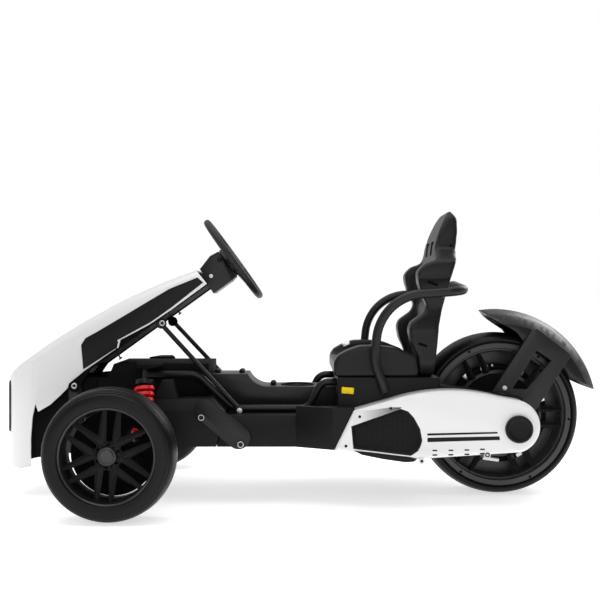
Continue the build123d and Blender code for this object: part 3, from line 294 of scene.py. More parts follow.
def lathe(bm, profile, start, along, steps=48, closed=False):
    """Turn points of distance along an axle and radius round it, from a start point."""
    others = set(bm.verts)
    points = [bm.verts.new((radius, 0, far)) for far, radius in profile]
    pairs = list(zip(points, points[1:]))
    if closed:
        pairs.append((points[-1], points[0]))
    edges = [bm.edges.new(pair) for pair in pairs]
    bmesh.ops.spin(bm, geom=points + edges, cent=(0, 0, 0), axis=(0, 0, 1), angle=2 * pi, steps=steps,
                   use_merge=True)
    verts = [vert for vert in bm.verts if vert not in others]
    bmesh.ops.remove_doubles(bm, verts=verts, dist=LATHE_WELD)
    verts = [vert for vert in bm.verts if vert not in others]
    turn = Vector((0, 0, 1)).rotation_difference(Vector(along)).to_matrix().to_4x4()
    bmesh.ops.transform(bm, matrix=Matrix.Translation(Vector(start)) @ turn, verts=verts)


def turned(bm, profile, start, along, steps=48, base=0.0, closed=True):
    """Turn a profile given in millimetres, with its radii counted from a base radius in metres."""
    lathe(bm, [(far * MM, base + high * MM) for far, high in profile], start, along, steps, closed)


def radial(angle):
    """The direction in the side view at an angle in degrees."""
    return Vector((0, cos(radians(angle)), sin(radians(angle))))


def across(reach):
    """A shift along X, given in millimetres."""
    return Vector((reach * MM, 0, 0))


def rod(bm, start, end, radius, steps=24, chamfer=0.0):
    """A round bar between two points, with chamfered ends."""
    start = Vector(start)
    run = Vector(end) - start
    far = run.length
    if chamfer:
        profile = [(0, 0), (0, radius - chamfer), (chamfer, radius), (far - chamfer, radius),
                   (far, radius - chamfer), (far, 0)]
    else:
        profile = [(0, 0), (0, radius), (far, radius), (far, 0)]
    lathe(bm, profile, start, run, steps)


def stud(bm, near, far, y, z, radius, steps):
    """A short bar along X at a place in the side view, all in millimetres."""
    rod(bm, Vector((near, y, z)) * MM, Vector((far, y, z)) * MM, radius * MM, steps)


def rounded(bm, rims, edge, segments=2, clamp=False):
    """Round some edges."""
    bmesh.ops.bevel(bm, geom=list(rims), offset=edge, segments=segments, profile=0.5, affect="EDGES",
                    material=-1, clamp_overlap=clamp)


def slab(bm, outline, x, thickness, edge=0.0, segments=2):
    """A plate cut to an outline in Y and Z, from a plane at x, with its edges rounded."""
    verts = [bm.verts.new((x, y, z)) for y, z in outline]
    grown = bmesh.ops.extrude_face_region(bm, geom=[bm.faces.new(verts)])
    tops = [item for item in grown["geom"] if isinstance(item, bmesh.types.BMVert)]
    bmesh.ops.translate(bm, verts=tops, vec=(thickness, 0, 0))
    if edge:
        rounded(bm, {rim for vert in verts + tops for rim in vert.link_edges}, edge, segments)


def bolt(bm, place, along, radius, head):
    """A bolt with a washer and a socket head, of a size in millimetres, standing on a place."""
    washer = head * 0.3
    profile = [(0, 0), (0, radius * 1.45), (washer, radius * 1.45), (washer, radius), (head * 0.85, radius),
               (head, radius * 0.85), (head, radius * 0.55), (head * 0.55, radius * 0.5), (head * 0.55, 0)]
    turned(bm, profile, place, along, 24, closed=False)


def ring(bm, place, along, outer, inner, height):
    """A round-edged ring, of a size in millimetres, standing on a place."""
    wall = outer - inner
    profile = [(0, outer), (height * 0.6, outer), (height, outer - wall * 0.3), (height, inner + wall * 0.3),
               (height * 0.6, inner), (0, inner)]
    turned(bm, profile, place, along, 32)


def facing(normal, up):
    """A turn whose Z follows a normal and whose Y leans towards an up direction."""
    z = Vector(normal).normalized()
    x = Vector(up).cross(z).normalized()
    return Matrix((x, z.cross(x), z)).transposed().to_4x4()


def chip(bm, place, normal, up, length, width, proud, deep, edge):
    """A small rounded block, of a size in millimetres, set into a surface and a little proud of it."""
    turn = Matrix.Translation(Vector(place)) @ facing(normal, up)
    size = Matrix.Diagonal((width * MM, length * MM, (proud + deep) * MM, 1))
    shift = Matrix.Translation((0, 0, (proud - deep) / 2 * MM))
    made = bmesh.ops.create_cube(bm, size=1.0, matrix=turn @ shift @ size)["verts"]
    rounded(bm, {rim for vert in made for rim in vert.link_edges}, edge * MM)


def hit(piece, start, way):
    """The place and normal where a line from a start in millimetres meets a piece, or None twice."""
    bm = bmesh.new()
    bm.from_mesh(piece.data)
    tree = BVHTree.FromBMesh(bm)
    bm.free()
    return tree.ray_cast(Vector(start) * MM, Vector(way).normalized())[:2]


def struck(piece, start, way):
    """The place and normal where a line from a start in millimetres meets a piece."""
    place, normal = hit(piece, start, way)
    if place is None:
        raise RuntimeError(f"nothing of {piece.name} lies that way")
    return place, normal


def landing(y, z, *nodes):
    """How far out on the left side a line along X first meets some nodes, all in millimetres."""
    places = [hit(NODES[node], (FAR, y, z), (-1, 0, 0))[0] for node in nodes]
    found = [place.x / MM for place in places if place is not None]
    if not found:
        raise RuntimeError(f"none of {nodes} lies there")
    return max(found)


def blade(bm, centre, angle, near, far, aside, x, half, depth):
    """A crested spoke beside a wheel's radius, with half sizes of root and tip in millimetres."""
    root, tip = (part * MM for part in half)
    made = bmesh.ops.create_cone(bm, cap_ends=True, segments=4, radius1=root, radius2=tip,
                                 depth=far - near)["verts"]
    for vert in made:
        end = 0 if vert.co.z < 0 else 1
        vert.co.y *= depth[end] / half[end]
    out = radial(angle)
    tangent = Vector((0, -out.z, out.y))
    turn = Matrix((tangent, Vector((1, 0, 0)), out)).transposed().to_4x4()
    place = Vector((x, centre.y, centre.z)) + out * ((near + far) / 2) + tangent * aside
    bmesh.ops.transform(bm, matrix=Matrix.Translation(place) @ turn, verts=made)


def grooved(line, places, width, depth, centre):
    """A line of (far, radius) points with grooves cut towards a centre, at shares of its length."""
    runs = [hypot(b[0] - a[0], b[1] - a[1]) for a, b in zip(line, line[1:])]
    total = sum(runs)

    def at(mark, cut):
        for start, end, run in zip(line, line[1:], runs):
            if mark <= run:
                break
            mark -= run
        share = min(1.0, mark / run)
        spot = [start[i] + (end[i] - start[i]) * share for i in (0, 1)]
        off = hypot(spot[0] - centre[0], spot[1] - centre[1])
        return tuple(spot[i] - (spot[i] - centre[i]) * cut / off for i in (0, 1))

    marks = []
    mark = 0.0
    for run, point in zip([0.0] + runs, line):
        mark += run
        if all(abs(mark - place * total) > width for place in places):
            marks.append((mark, 0.0))
    for place in places:
        for shift, cut in ((-0.5, 0.0), (-0.3, depth), (0.3, depth), (0.5, 0.0)):
            marks.append((place * total + shift * width, cut))
    return [at(mark, cut) for mark, cut in sorted(marks)]


def copied(node):
    """The merged mesh of a CAD node, with flat faces joined."""
    bm = bmesh.new()
    bm.from_mesh(NODES[node].data)
    bmesh.ops.remove_doubles(bm, verts=bm.verts, dist=CAD_WELD)
    bmesh.ops.dissolve_limit(bm, angle_limit=FLAT_TURN, verts=bm.verts, edges=bm.edges)
    return bm


def placed(name, data):
    """A new object in the scene."""
    thing = bpy.data.objects.new(name, data)
    bpy.context.scene.collection.objects.link(thing)
    return thing


def meshed(name, bm):
    """A new object in the scene, made of a bmesh."""
    mesh = bpy.data.meshes.new(name)
    bm.to_mesh(mesh)
    bm.free()
    return placed(name, mesh)


def settle(piece, slot, body, *replaced, look=None):
    """Give a piece its finish, let it ride on its body and hide the nodes that it stands for."""
    piece.data.materials.append(look_of(look or slot))
    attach(piece, body)
    if replaced:
        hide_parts(*replaced)


def finish(name, bm, slot, body="chassis", *replaced, angle=32.0, look=None):
    """Make a piece of a bmesh, smooth up to an angle."""
    bmesh.ops.recalc_face_normals(bm, faces=bm.faces)
    piece = meshed(name, bm)
    piece.data.shade_smooth()
    piece.data.set_sharp_from_angle(angle=radians(angle))
    settle(piece, slot, body, *replaced, look=look)
    return piece


def soft_copy(node, edge, segments, look):
    """A CAD node with its sharp edges rounded, in its place."""
    bm = copied(node)
    sharp = [rim for rim in bm.edges if len(rim.link_faces) == 2 and rim.calc_face_angle() > SHARP_TURN]
    rounded(bm, sharp, edge, segments, clamp=True)
    finish(f"{node}_skin", bm, SLOT_OF[node], BODY_OF[node], node, look=look)


def melted(node, voxel, rounds):
    """A CAD node remeshed and relaxed into soft moulded curves."""
    name = f"{node}_skin"
    piece = meshed(name, copied(node))
    remesh = piece.modifiers.new("Cells", "REMESH")
    remesh.mode = "VOXEL"
    remesh.voxel_size = voxel
    relax = piece.modifiers.new("Relax", "SMOOTH")
    relax.factor = 0.5
    relax.iterations = rounds
    done = bpy.data.meshes.new_from_object(piece.evaluated_get(bpy.context.evaluated_depsgraph_get()))
    piece.modifiers.clear()
    piece.data = done
    done.name = name
    done.shade_smooth()
    done.materials.clear()
    settle(piece, SLOT_OF[node], BODY_OF[node], node)
    return piece


def middle(node):
    """The middle of a node's box."""
    low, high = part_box(node)
    return (low + high) / 2


# Settings that a user would change

COLOUR = {"subtype": "COLOR", "min": 0, "max": 1}


class KartColours(bpy.types.PropertyGroup):
    """Base colours of the kart's finishes."""

    white: bpy.props.FloatVectorProperty(
        name="White panels", description="Hood and side covers", default=(0.77, 0.77, 0.78), **COLOUR)
    black: bpy.props.FloatVectorProperty(
        name="Black mouldings", description="Fender, housings and floor", default=(0.0055, 0.0055, 0.0058),
        **COLOUR)
    seat: bpy.props.FloatVectorProperty(
        name="Seat", description="Moulded seat", default=(0.0085, 0.0086, 0.0089), **COLOUR)
    rubber: bpy.props.FloatVectorProperty(
        name="Tyres", description="Tyre compound", default=(0.0036, 0.0036, 0.0037), **COLOUR)
    spring: bpy.props.FloatVectorProperty(
        name="Springs", description="Coil springs", default=(0.60, 0.004, 0.006), **COLOUR)
    amber: bpy.props.FloatVectorProperty(
        name="Reflectors", description="Side reflectors", default=(0.9, 0.56, 0.0), **COLOUR)


class KartSizes(bpy.types.PropertyGroup):
    """Small sizes of the added pieces."""

    edge: bpy.props.FloatProperty(
        name="Edge radius", description="Rounding of moulded edges", unit="LENGTH", default=1.2 * MM, min=0)
    groove: bpy.props.FloatProperty(
        name="Tread groove", description="Depth of the grooves round the tyres", unit="LENGTH",
        default=1.6 * MM, min=0)
    mesh_cell: bpy.props.FloatProperty(
        name="Mesh cell", description="Pitch of the side grilles' holes", unit="LENGTH",
        default=5.0 * MM, min=1 * MM)


class KartStage(bpy.types.PropertyGroup):
    """Camera and floor."""

    distance: bpy.props.FloatProperty(
        name="Camera distance", description="From the kart's middle plane", unit="LENGTH", default=2.3)
    height: bpy.props.FloatProperty(
        name="Camera height", description="Above the floor", unit="LENGTH", default=0.425)
    lens: bpy.props.FloatProperty(name="Lens", description="Focal length in millimetres", default=62.34)
    floor: bpy.props.FloatVectorProperty(
        name="Floor", description="Floor colour", default=(0.92, 0.92, 0.92), **COLOUR)


class KartStep(bpy.types.Operator):
    """Shared by the kart's steps."""

    bl_options = {"REGISTER", "UNDO"}


class KART_OT_finishes(KartStep):
    """Make one material for each finish and put it on the kart's own nodes"""

    bl_idname = "kart.finishes"
    bl_label = "Finishes"

    # Look, share of the black colour, roughness, grains to the metre, their depth, strength of the painted edge
    # highlight, hollow shade and wear, and shine
    mouldings = (
        ("black_satin", 1.0, 0.42, 700.0, 0.0002, 0.5, 0.16),
        # A lighter copy of the black: painted light on the fender, its brackets, the column housing and the
        # console
        ("black_shell", 1.7, 0.36, 700.0, 0.0001, 0.5, 0.3),
        ("black_matte", 1.1, 0.5, 520.0, 0.0005, 0.5, 0.14),
        # A darker copy of the black: painted shade on parts that lie in shade
        ("black_dull", 0.8, 0.72, 520.0, 0.0003, 0.5, 0.06),
        # The darkest copy of the black: painted shade of slots and holes
        ("black_hole", 0.25, 0.8, 520.0, 0.0002, 0.5, 0.05),
        # The rims' black, raised in tone as painted highlight on the spokes' crests
        ("rim_black", 2.2, 0.32, 500.0, 0.00003, 1.0, 0.6))
    # Look, share of the black colour and roughness
    powders = (("black_metal", 1.3, 0.32), ("drum_dark", 1.2, 0.42))
    zinc = (0.66, 0.66, 0.68)
    # Y in metres between which the recess walls' painted shade falls from pale to dark
    fall = (0.115, 0.195)

    def execute(self, context):
        colours = context.scene.kart_colours
        black = tuple(colours.black)
        white = tuple(colours.white)
        gloss_white("white_gloss", white)
        for name, share, *rest in self.mouldings:
            moulded(name, shade(black, share), *rest)
        for name, share, roughness in self.powders:
            powder_coat(name, shade(black, share), roughness)
        # The seat takes the full painted highlight on its edges and painted shade in its hollows
        moulded("seat_grey", tuple(colours.seat), 0.36, 620.0, 0.0002, 1.0, 0.2)
        perforated("mesh_black", black, context.scene.kart_sizes.mesh_cell)
        steel("bare_steel", self.zinc, 0.32)
        red_spring("spring_red", tuple(colours.spring))
        grip("grip_black", shade(black, 2.0))
        rubber("tyre_rubber", tuple(colours.rubber))
        reflector("reflector_amber", tuple(colours.amber))
        # The white recess wall, painted from pale to dark as shade
        facet("cover_recess_painted_shade", shade(black, 3.0), shade(white, 0.9), *self.fall)
        for name, node in NODES.items():
            node.data.materials.clear()
            node.data.materials.append(look_of(SLOT_OF[name]))
        return {"FINISHED"}


class KART_OT_tyres(KartStep):
    """Turn the three tyres with flat walls, domed shoulders and fine grooves"""

    bl_idname = "kart.tyres"
    bl_label = "Tyres"

    # Half sections, as shares of half the width and of the height from bead to crown
    walls = {
        "front": ((0.84, 0.0), (0.94, 0.02), (0.972, 0.06), (0.985, 0.14), (0.99, 0.35), (0.985, 0.56),
                  (0.972, 0.594), (0.945, 0.60)),
        "rear": ((0.84, 0.0), (0.90, 0.02), (0.925, 0.06), (0.93, 0.40), (0.965, 0.44), (0.99, 0.50),
                 (0.99, 0.60))}
    domes = {
        "front": ((0.945, 0.615), (0.93, 0.67), (0.87, 0.745), (0.78, 0.815), (0.66, 0.875), (0.50, 0.93),
                  (0.32, 0.97), (0.14, 0.995), (0.0, 1.0)),
        "rear": ((0.985, 0.61), (0.96, 0.70), (0.90, 0.78), (0.80, 0.85), (0.66, 0.91), (0.48, 0.955),
                 (0.30, 0.982), (0.14, 0.997), (0.0, 1.0))}
    # Places of the grooves, as shares of the dome's length from shoulder to crown
    grooves = {"front": (0.16, 0.27, 0.38, 0.62, 0.86), "rear": (0.22, 0.36, 0.50, 0.64, 0.82)}

    def tyre(self, node, kind, bead, depth):
        low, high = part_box(node)
        half = (high.x - low.x) / 2
        radius = (high.z - low.z) / 2
        wall, dome = ([(half * u, bead + (radius - bead) * v) for u, v in shares[kind]]
                      for shares in (self.walls, self.domes))
        section = wall + grooved(dome, self.grooves[kind], depth * 1.5, depth, (0, bead))
        profile = section + [(-x, r) for x, r in reversed(section[:-1])]
        bm = bmesh.new()
        lathe(bm, profile, middle(node), (1, 0, 0), 144, closed=True)
        finish(f"{node}_skin", bm, "tyre_rubber", BODY_OF[node], node, angle=30.0)

    def execute(self, context):
        for node in ("front_tyre_left", "front_tyre_right", "rear_tyre"):
            low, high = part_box(node.replace("tyre", "rim"))
            bead = (high.z - low.z) / 2
            self.tyre(node, node.split("_")[0], bead, context.scene.kart_sizes.groove)
        return {"FINISHED"}


class KART_OT_rims(KartStep):
    """Turn the barrels and hubs and set the crested spokes in pairs"""

    bl_idname = "kart.rims"
    bl_label = "Rims"

    # Closed profiles in millimetres: distance along the axle, and radius or height over the rim's radius
    barrel = ((-42, 0), (42, 0), (42, -1.4), (40.5, -3.2), (33, -5.2), (-30, -5.2), (-42, -4))
    hub = ((-30, 6.6), (-30, 21), (22, 21), (29, 19.5), (31, 18), (36, 17.6), (37.4, 16), (37.4, 14.6),
           (36.6, 14.2), (36.6, 13.6), (38.2, 13.2), (39.2, 12), (39.2, 10.5), (38.6, 9.5), (38.6, 0),
           (34.5, 0), (34.5, 6.6))
    plate_lip = ((0, 69), (4, 69), (5, 71), (5, 81.5), (3, 83), (0, 83))
    collar = ((-46, 86.3), (46, 86.3), (46, 93), (44, 95), (-44, 95), (-46, 93))
    flange = ((0, 0.2), (0, 13), (4.5, 13), (6, 11.5), (6.4, 2), (5, 0.2))
    motor_ring = ((0, 95.4), (14, 95.4), (17, 97), (17, 104), (14, 107), (0, 107))
    # Spokes: first angle, then in millimetres the root's radius, the tip's gap to the rim, the shift beside
    # the radius and out along the axle, and the half widths and half depths of root and tip
    pairs = 6
    front_spokes = (25, 13, 3, 13.5, 24, (9.6, 4.6), (11, 8))
    rear_spokes = (-4, 90, 1.5, 17, 47, (8.5, 4.8), (13, 10))
    # Distances out from the wheel's middle, and the shift of the plate's lip
    plate_x, flange_x, screw_x, ring_x, lug_x = -31.5, 59, 65, 20, 37
    lip_shift = (0, 1.6, -1.6)
    # The angle of the plate's open window, the other windows' caps and the rear rim's screws
    window, window_reach, cap_radius, cap_height = 38, 52, 15.5, 5.2
    screw_reach, screw_radius, screw_height = 149, 2.8, 0.8
    # The motor's bright lugs: angle, distance from the axle, length and width, then height, depth and edge
    lugs = ((131, 103, 12, 14), (106, 101, 18, 12), (96, 104, 5, 5), (63, 101, 24, 11), (20, 101, 20, 12),
            (300, 101, 22, 9), (262, 101, 36, 9), (205, 101, 18, 11))
    lug_block = (3, 6, 1.5)

    def turns(self, first, skipped=0):
        """The angles of the pairs of spokes from a first one, without those skipped."""
        return [first + 360 / self.pairs * turn for turn in range(skipped, self.pairs)]

    def spokes(self, bm, centre, radius, sign, first, root, gap, aside, out, half, depth):
        for angle in self.turns(first):
            for hand in (-1, 1):
                blade(bm, centre, angle, root * MM, radius - gap * MM, hand * aside * MM,
                      centre.x + sign * out * MM, half, depth)

    def front(self, side, sign):
        node = f"front_rim_{side}"
        low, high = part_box(node)
        centre = middle(f"front_tyre_{side}")
        radius = (high.z - low.z) / 2
        along = (sign, 0, 0)
        bm = bmesh.new()
        turned(bm, self.barrel, centre, along, 96, radius)
        turned(bm, self.hub, centre, along)
        self.spokes(bm, centre, radius, sign, *self.front_spokes)
        finish(f"{node}_skin", bm, "rim_black", BODY_OF[node], node, angle=20.0)

    def plate(self, side, sign):
        """A lip round the backing plate, with caps in all its windows but one."""
        face = middle(f"front_tyre_{side}") + across(sign * self.plate_x)
        bm = bmesh.new()
        turned(bm, self.plate_lip, face + Vector(self.lip_shift) * MM, (sign, 0, 0), 96)
        for angle in self.turns(self.window, 1):
            spot = face + radial(angle) * self.window_reach * MM
            rod(bm, spot, spot + across(sign * self.cap_height), self.cap_radius * MM, 32, 1 * MM)
        # The plates take the darker copy of the black, painted shade
        finish(f"backing_plate_{side}", bm, "black_metal", f"knuckle_{side}", look="black_dull")

    def rear(self):
        low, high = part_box("rear_rim")
        centre = middle("rear_rim")
        radius = (high.z - low.z) / 2
        half = (high.x - low.x) / 2
        body = BODY_OF["rear_rim"]
        step = 3 * MM
        barrel = [(-half, radius), (half, radius), (half, radius - step), (half - step, radius - 2 * step),
                  (step - half, radius - 2 * step), (-half, radius - step)]
        web_low, web_high = 95 * MM, radius - 4 * MM
        web = [(-step, web_low), (step, web_low), (step, web_high), (-step, web_high)]
        rim, flanges, screws, rings, lugs = (bmesh.new() for _ in range(5))
        lathe(rim, barrel, centre, (1, 0, 0), 128, closed=True)
        lathe(rim, web, centre, (1, 0, 0), 96, closed=True)
        turned(rim, self.collar, centre, (1, 0, 0), 96)
        for sign in (-1, 1):
            along = (sign, 0, 0)
            self.spokes(rim, centre, radius, sign, *self.rear_spokes)
            turned(flanges, self.flange, centre + across(sign * self.flange_x), along, 128, radius)
            for angle in self.turns(self.rear_spokes[0]):
                spot = centre + across(sign * self.screw_x) + radial(angle) * self.screw_reach * MM
                rod(screws, spot, spot + across(sign * self.screw_height), self.screw_radius * MM, 16)
            turned(rings, self.motor_ring, centre + across(sign * self.ring_x), along, 96)
            face = centre + across(sign * self.lug_x)
            for angle, reach, length, width in self.lugs:
                way = radial(angle)
                chip(lugs, face + way * reach * MM, along, way, width, length, *self.lug_block)
        finish("rear_rim_skin", rim, "rim_black", body, "rear_rim", angle=20.0)
        finish("rear_rim_flanges", flanges, "rim_black", body)
        # The rim's screws take the darkest copy of the black, painted shade
        finish("rear_rim_screws", screws, "rim_black", body, look="black_hole")
        # The motor's rings take the darker copy of the black, painted shade
        finish("rear_motor_rings", rings, "rim_black", body, look="black_dull")
        finish("rear_motor_lugs", lugs, "bare_steel", body)

    def execute(self, context):
        for side, sign in SIDES:
            self.front(side, sign)
            self.plate(side, sign)
        self.rear()
        return {"FINISHED"}


class KART_OT_bodywork(KartStep):
    """Round the edges of the moulded and pressed pieces"""

    bl_idname = "kart.bodywork"
    bl_label = "Bodywork"

    # Nodes that other steps make anew, and the springs, which are round already
    others = ("front_tyre_left", "front_tyre_right", "rear_tyre", "front_rim_left", "front_rim_right",
              "rear_rim", "seat_cushion", "seat_back", "side_grilles", "cover_caps", "coil_springs")
    # Nodes with an edge radius of their own, in millimetres, and more steps round it
    edges = {"column_housing": 5.0, "sills": 3.0, "front_housing": 2.0, "seat_base": 2.5, "console": 2.0,
             "link_arms": 1.8, "fender_brackets": 1.8, "hood_insets": 0.6}
    # Nodes that show more shine and painted light, and nodes that show less shine and painted shade, than their
    # slot's own look
    shinier_painted_lighter = ("fender", "fender_brackets", "column_housing", "console")
    dull = ("column_frame", "front_housing", "damper_towers", "knuckle_left", "knuckle_right",
            "nose_backing", "rear_drum")

    def execute(self, context):
        looks = {**dict.fromkeys(self.shinier_painted_lighter, "black_shell"), **dict.fromkeys(self.dull, "black_dull")}
        for node in (node for node in SLOT_OF if node not in self.others):
            wide = node in self.edges
            edge = self.edges[node] * MM if wide else context.scene.kart_sizes.edge
            soft_copy(node, edge, 3 if wide else 2, looks.get(node))
        return {"FINISHED"}


class KART_OT_covers(KartStep):
    """Dress the side covers: grilles, recesses, caps, stripes, slots and screws, and the hood's step"""

    bl_idname = "kart.covers"
    bl_label = "Side covers"

    # Outlines and places of Y and Z on the left side, in millimetres
    grille = ((97, 168.7), (101.1, 123.6), (216.4, 109.5), (229, 116.5), (235.5, 127.5), (239.1, 141),
              (237.5, 155), (233, 168), (226, 180.5), (218, 190.5), (208, 199), (195.8, 203.9))
    recess = ((97.6, 169.4), (194, 203.6), (198, 206.6), (176, 206.6), (104, 196.5))
    lip = ((102, 120), (140, 116.3), (216, 107), (229, 102.5), (222, 97.5), (205, 96.5), (160, 103),
           (118, 111.5))
    stripes = (((248.9, 154.4), (248.9, 150.2), (389.5, 154.3), (388.9, 157.6)),
               ((249.1, 145.8), (249.1, 137.2), (394.2, 141.4), (392.9, 148.7)))
    slots = ((264.0, 120.4, 111.4), (296.0, 120.8, 111.8), (328.0, 121.4, 112.6), (359.0, 122.8, 113.8))
    screws = ((113.9, 187.9), (176.0, 204.6), (86.4, 129.2), (238.0, 99.0))
    eye = (369.2, 111.5)
    hood_step = ((-387.4, 338.6), (-384.4, 336.2), (-388.6, 319.8), (-392.0, 318.6))
    hood_spot = (-396, 326)
    # X of the covers' faces, how far trim is sunk into them, and X and thickness of what stands on them
    face_x, sunk = 225.0, 0.4
    grille_x, grille_thick = 213.0, 11.0
    lip_x, lip_thick, lip_edge = 174.0, 51.6, 1.5
    stripe_thick, recess_thick, step_thick = 0.75, 0.7, 1.0
    # Width of a grille's frame, and width and depth of the slope inside it
    frame_width, slope = 3.5, 4.5
    # Length, width, height, depth and edge of a slot, then the screws, the eye's ring and their tabs
    slot_block = (3, 9.6, 0.4, 2, 0.6)
    screw_radius, screw_height = 2.9, 1.0
    eye_ring = (4.8, 2.4, 1.4)
    tab_radius, tab_deep, tab_proud = 6.6, 6, 0.1
    # A dished cap: distance out and radius
    cap = ((0, 0), (0, 27.5), (6.5, 27.5), (9.0, 26.6), (10.6, 24.6), (10.6, 23), (8.0, 19.5), (7.4, 17),
           (7.6, 8), (7.7, 0))

    def panel(self, bm, points, sign, x, thickness, edge=0.0):
        """A plate of an outline, from a distance out on one side, in millimetres."""
        outline = [(y * MM, z * MM) for y, z in points]
        slab(bm, outline, sign * x * MM, sign * thickness * MM, edge * MM)

    def grille_piece(self, side, sign):
        bm = bmesh.new()
        self.panel(bm, self.grille, sign, self.grille_x, self.grille_thick)
        bmesh.ops.recalc_face_normals(bm, faces=bm.faces)
        front = max(bm.faces, key=lambda face: face.calc_center_median().x * sign)
        slope = self.slope * MM
        bmesh.ops.inset_region(bm, faces=[front], thickness=self.frame_width * MM, depth=0)
        bmesh.ops.inset_region(bm, faces=[front], thickness=slope, depth=-slope)
        front.material_index = 1
        piece = finish(f"side_grille_{side}", bm, "mesh_black", look="black_satin", angle=20.0)
        piece.data.materials.append(look_of("mesh_black"))
        return piece

    def execute(self, context):
        pieces = [self.grille_piece(side, sign) for side, sign in SIDES]
        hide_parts("side_grilles")
        trim, lips, facets, caps, steps, tabs = (bmesh.new() for _ in range(6))
        out = self.face_x - self.sunk
        for _, sign in SIDES:
            along = (sign, 0, 0)
            for stripe in self.stripes:
                self.panel(trim, stripe, sign, out, self.stripe_thick)
            for y, *heights in self.slots:
                for z in heights:
                    place = Vector((sign * self.face_x, y, z)) * MM
                    chip(trim, place, along, (0, 0, 1), *self.slot_block)
            for y, z in self.screws:
                stud(trim, sign * out, sign * (out + self.screw_height), y, z, self.screw_radius, 16)
            ring(trim, Vector((sign * out, *self.eye)) * MM, along, *self.eye_ring)
            for y, z in (self.eye, self.screws[-1]):
                near, far = out - self.tab_deep, out + self.tab_proud
                stud(tabs, sign * near, sign * far, y, z, self.tab_radius, 32)
            self.panel(lips, self.lip, sign, self.lip_x, self.lip_thick, self.lip_edge)
            self.panel(facets, self.recess, sign, out, self.recess_thick)
            place = middle("cover_caps")
            place.x = sign * self.face_x * MM
            turned(caps, self.cap, place, along, 64, closed=False)
            step = landing(*self.hood_spot, "hood_insets", "hood")
            self.panel(steps, self.hood_step, sign, step - self.sunk, self.step_thick)
        finish("hood_steps", steps, "white_gloss")
        finish("cover_tabs", tabs, "white_gloss")
        finish("cover_trim", trim, "black_satin")
        finish("cover_lips", lips, "black_satin")
        # The recess walls carry painted shade
        finish("cover_facets", facets, "white_gloss", look="cover_recess_painted_shade")
        finish("cover_caps_skin", caps, "black_satin", "chassis", "cover_caps")
        return {"FINISHED"}


class KART_OT_seat(KartStep):
    """Relax the seat into soft moulded curves and set its slots and buckle"""

    bl_idname = "kart.seat"
    bl_label = "Seat"

    voxel = 3.2 * MM
    cushion_rounds, back_rounds = 14, 22
    # Y, Z, fall over a run and length of the slots in the back's flanks, in millimetres
    slots = ((269.0, 455.0, -10.3, 25.0), (247.5, 328.5, -8.1, 20.0))
    slot_run = 23
    # Width, height, depth and edge of those slots
    slot_block = (6.5, 0.3, 3, 1.4)
    # Y and Z of the screw in each flank, X and Z of the head's slots, and Y and Z of the buckle
    screw_spot, head_spot, buckle_spot = (314, 536), (38, 532), (102, 318)
    screw_radius, screw_deep, screw_proud = 3, 2, 0.4
    # Length, width, height, depth and edge
    head_block = (32, 26, 0.8, 8, 3)
    buckle_block = (18, 9, 2.5, 2, 1.575)

    def execute(self, context):
        cushion = melted("seat_cushion", self.voxel, self.cushion_rounds)
        back = melted("seat_back", self.voxel, self.back_rounds)
        bm = bmesh.new()
        for _, sign in SIDES:
            for y, z, fall, length in self.slots:
                place, normal = struck(back, (sign * FAR, y, z), (-sign, 0, 0))
                chip(bm, place, normal, (0, self.slot_run, fall), length, *self.slot_block)
            place, normal = struck(back, (sign * FAR, *self.screw_spot), (-sign, 0, 0))
            rod(bm, place - normal * self.screw_deep * MM, place + normal * self.screw_proud * MM,
                self.screw_radius * MM, 16)
            x, z = self.head_spot
            place, normal = struck(back, (sign * x, -FAR, z), (0, 1, 0))
            chip(bm, place, normal, (0, 0, 1), *self.head_block)
        # The slots and screws are near-black blocks: painted shade of slots and holes
        finish("seat_slots", bm, "black_satin", look="black_hole")
        bm = bmesh.new()
        place, normal = struck(cushion, (0, *self.buckle_spot), (-1, 0, 0))
        chip(bm, place, normal, (0, 1, 0.4), *self.buckle_block)
        finish("seat_buckle", bm, "bare_steel")
        return {"FINISHED"}


class KART_OT_steering(KartStep):
    """Fit the boss and spoke behind the steering wheel, and the collar with its knobs on the column"""

    bl_idname = "kart.steering"
    bl_label = "Steering"

    # Distance down the column from the wheel's middle, and a radius or a distance below, in millimetres
    boss = ((-6, 0), (-6, 20), (-4, 24), (0, 26), (6, 30), (12, 33.5), (14.2, 34.2), (15.2, 33.5), (15.2, 9),
            (-2, 9), (-2, 0))
    spoke = ((13.6, 26), (3, 26), (1, 97), (5, 97))
    wedge = ((16.6, -26), (15.9, 0), (15.9, 36), (30, 37), (30, -26))
    knob = ((0, 0), (0, 5), (3, 5), (5.5, 3.6), (6.4, 0))
    knob_spot = (24, -14)
    # Half width, edge and steps round it, and X of the knobs
    spoke_block = (11, 1.4, 2)
    wedge_block = (33, 4, 3)
    knob_x = 37

    def execute(self, context):
        centre = Vector(STEERING["pos_m"])
        down = -Vector(STEERING["axis"]).normalized()
        drop = Vector((0, -down.z, down.y))

        def spot(far, low):
            return centre + (down * far + drop * low) * MM

        def plate(bm, outline, half, edge, segments):
            points = [spot(far, low).yz for far, low in outline]
            slab(bm, points, -half * MM, 2 * half * MM, edge * MM, segments)

        bm = bmesh.new()
        turned(bm, self.boss, centre, down, closed=False)
        plate(bm, self.spoke, *self.spoke_block)
        finish("steering_boss", bm, "grip_black", "steering")
        bm = bmesh.new()
        plate(bm, self.wedge, *self.wedge_block)
        for _, sign in SIDES:
            place = spot(*self.knob_spot) + across(sign * self.knob_x)
            turned(bm, self.knob, place, (sign, 0, 0), closed=False)
        finish("column_collar", bm, "black_satin")
        return {"FINISHED"}


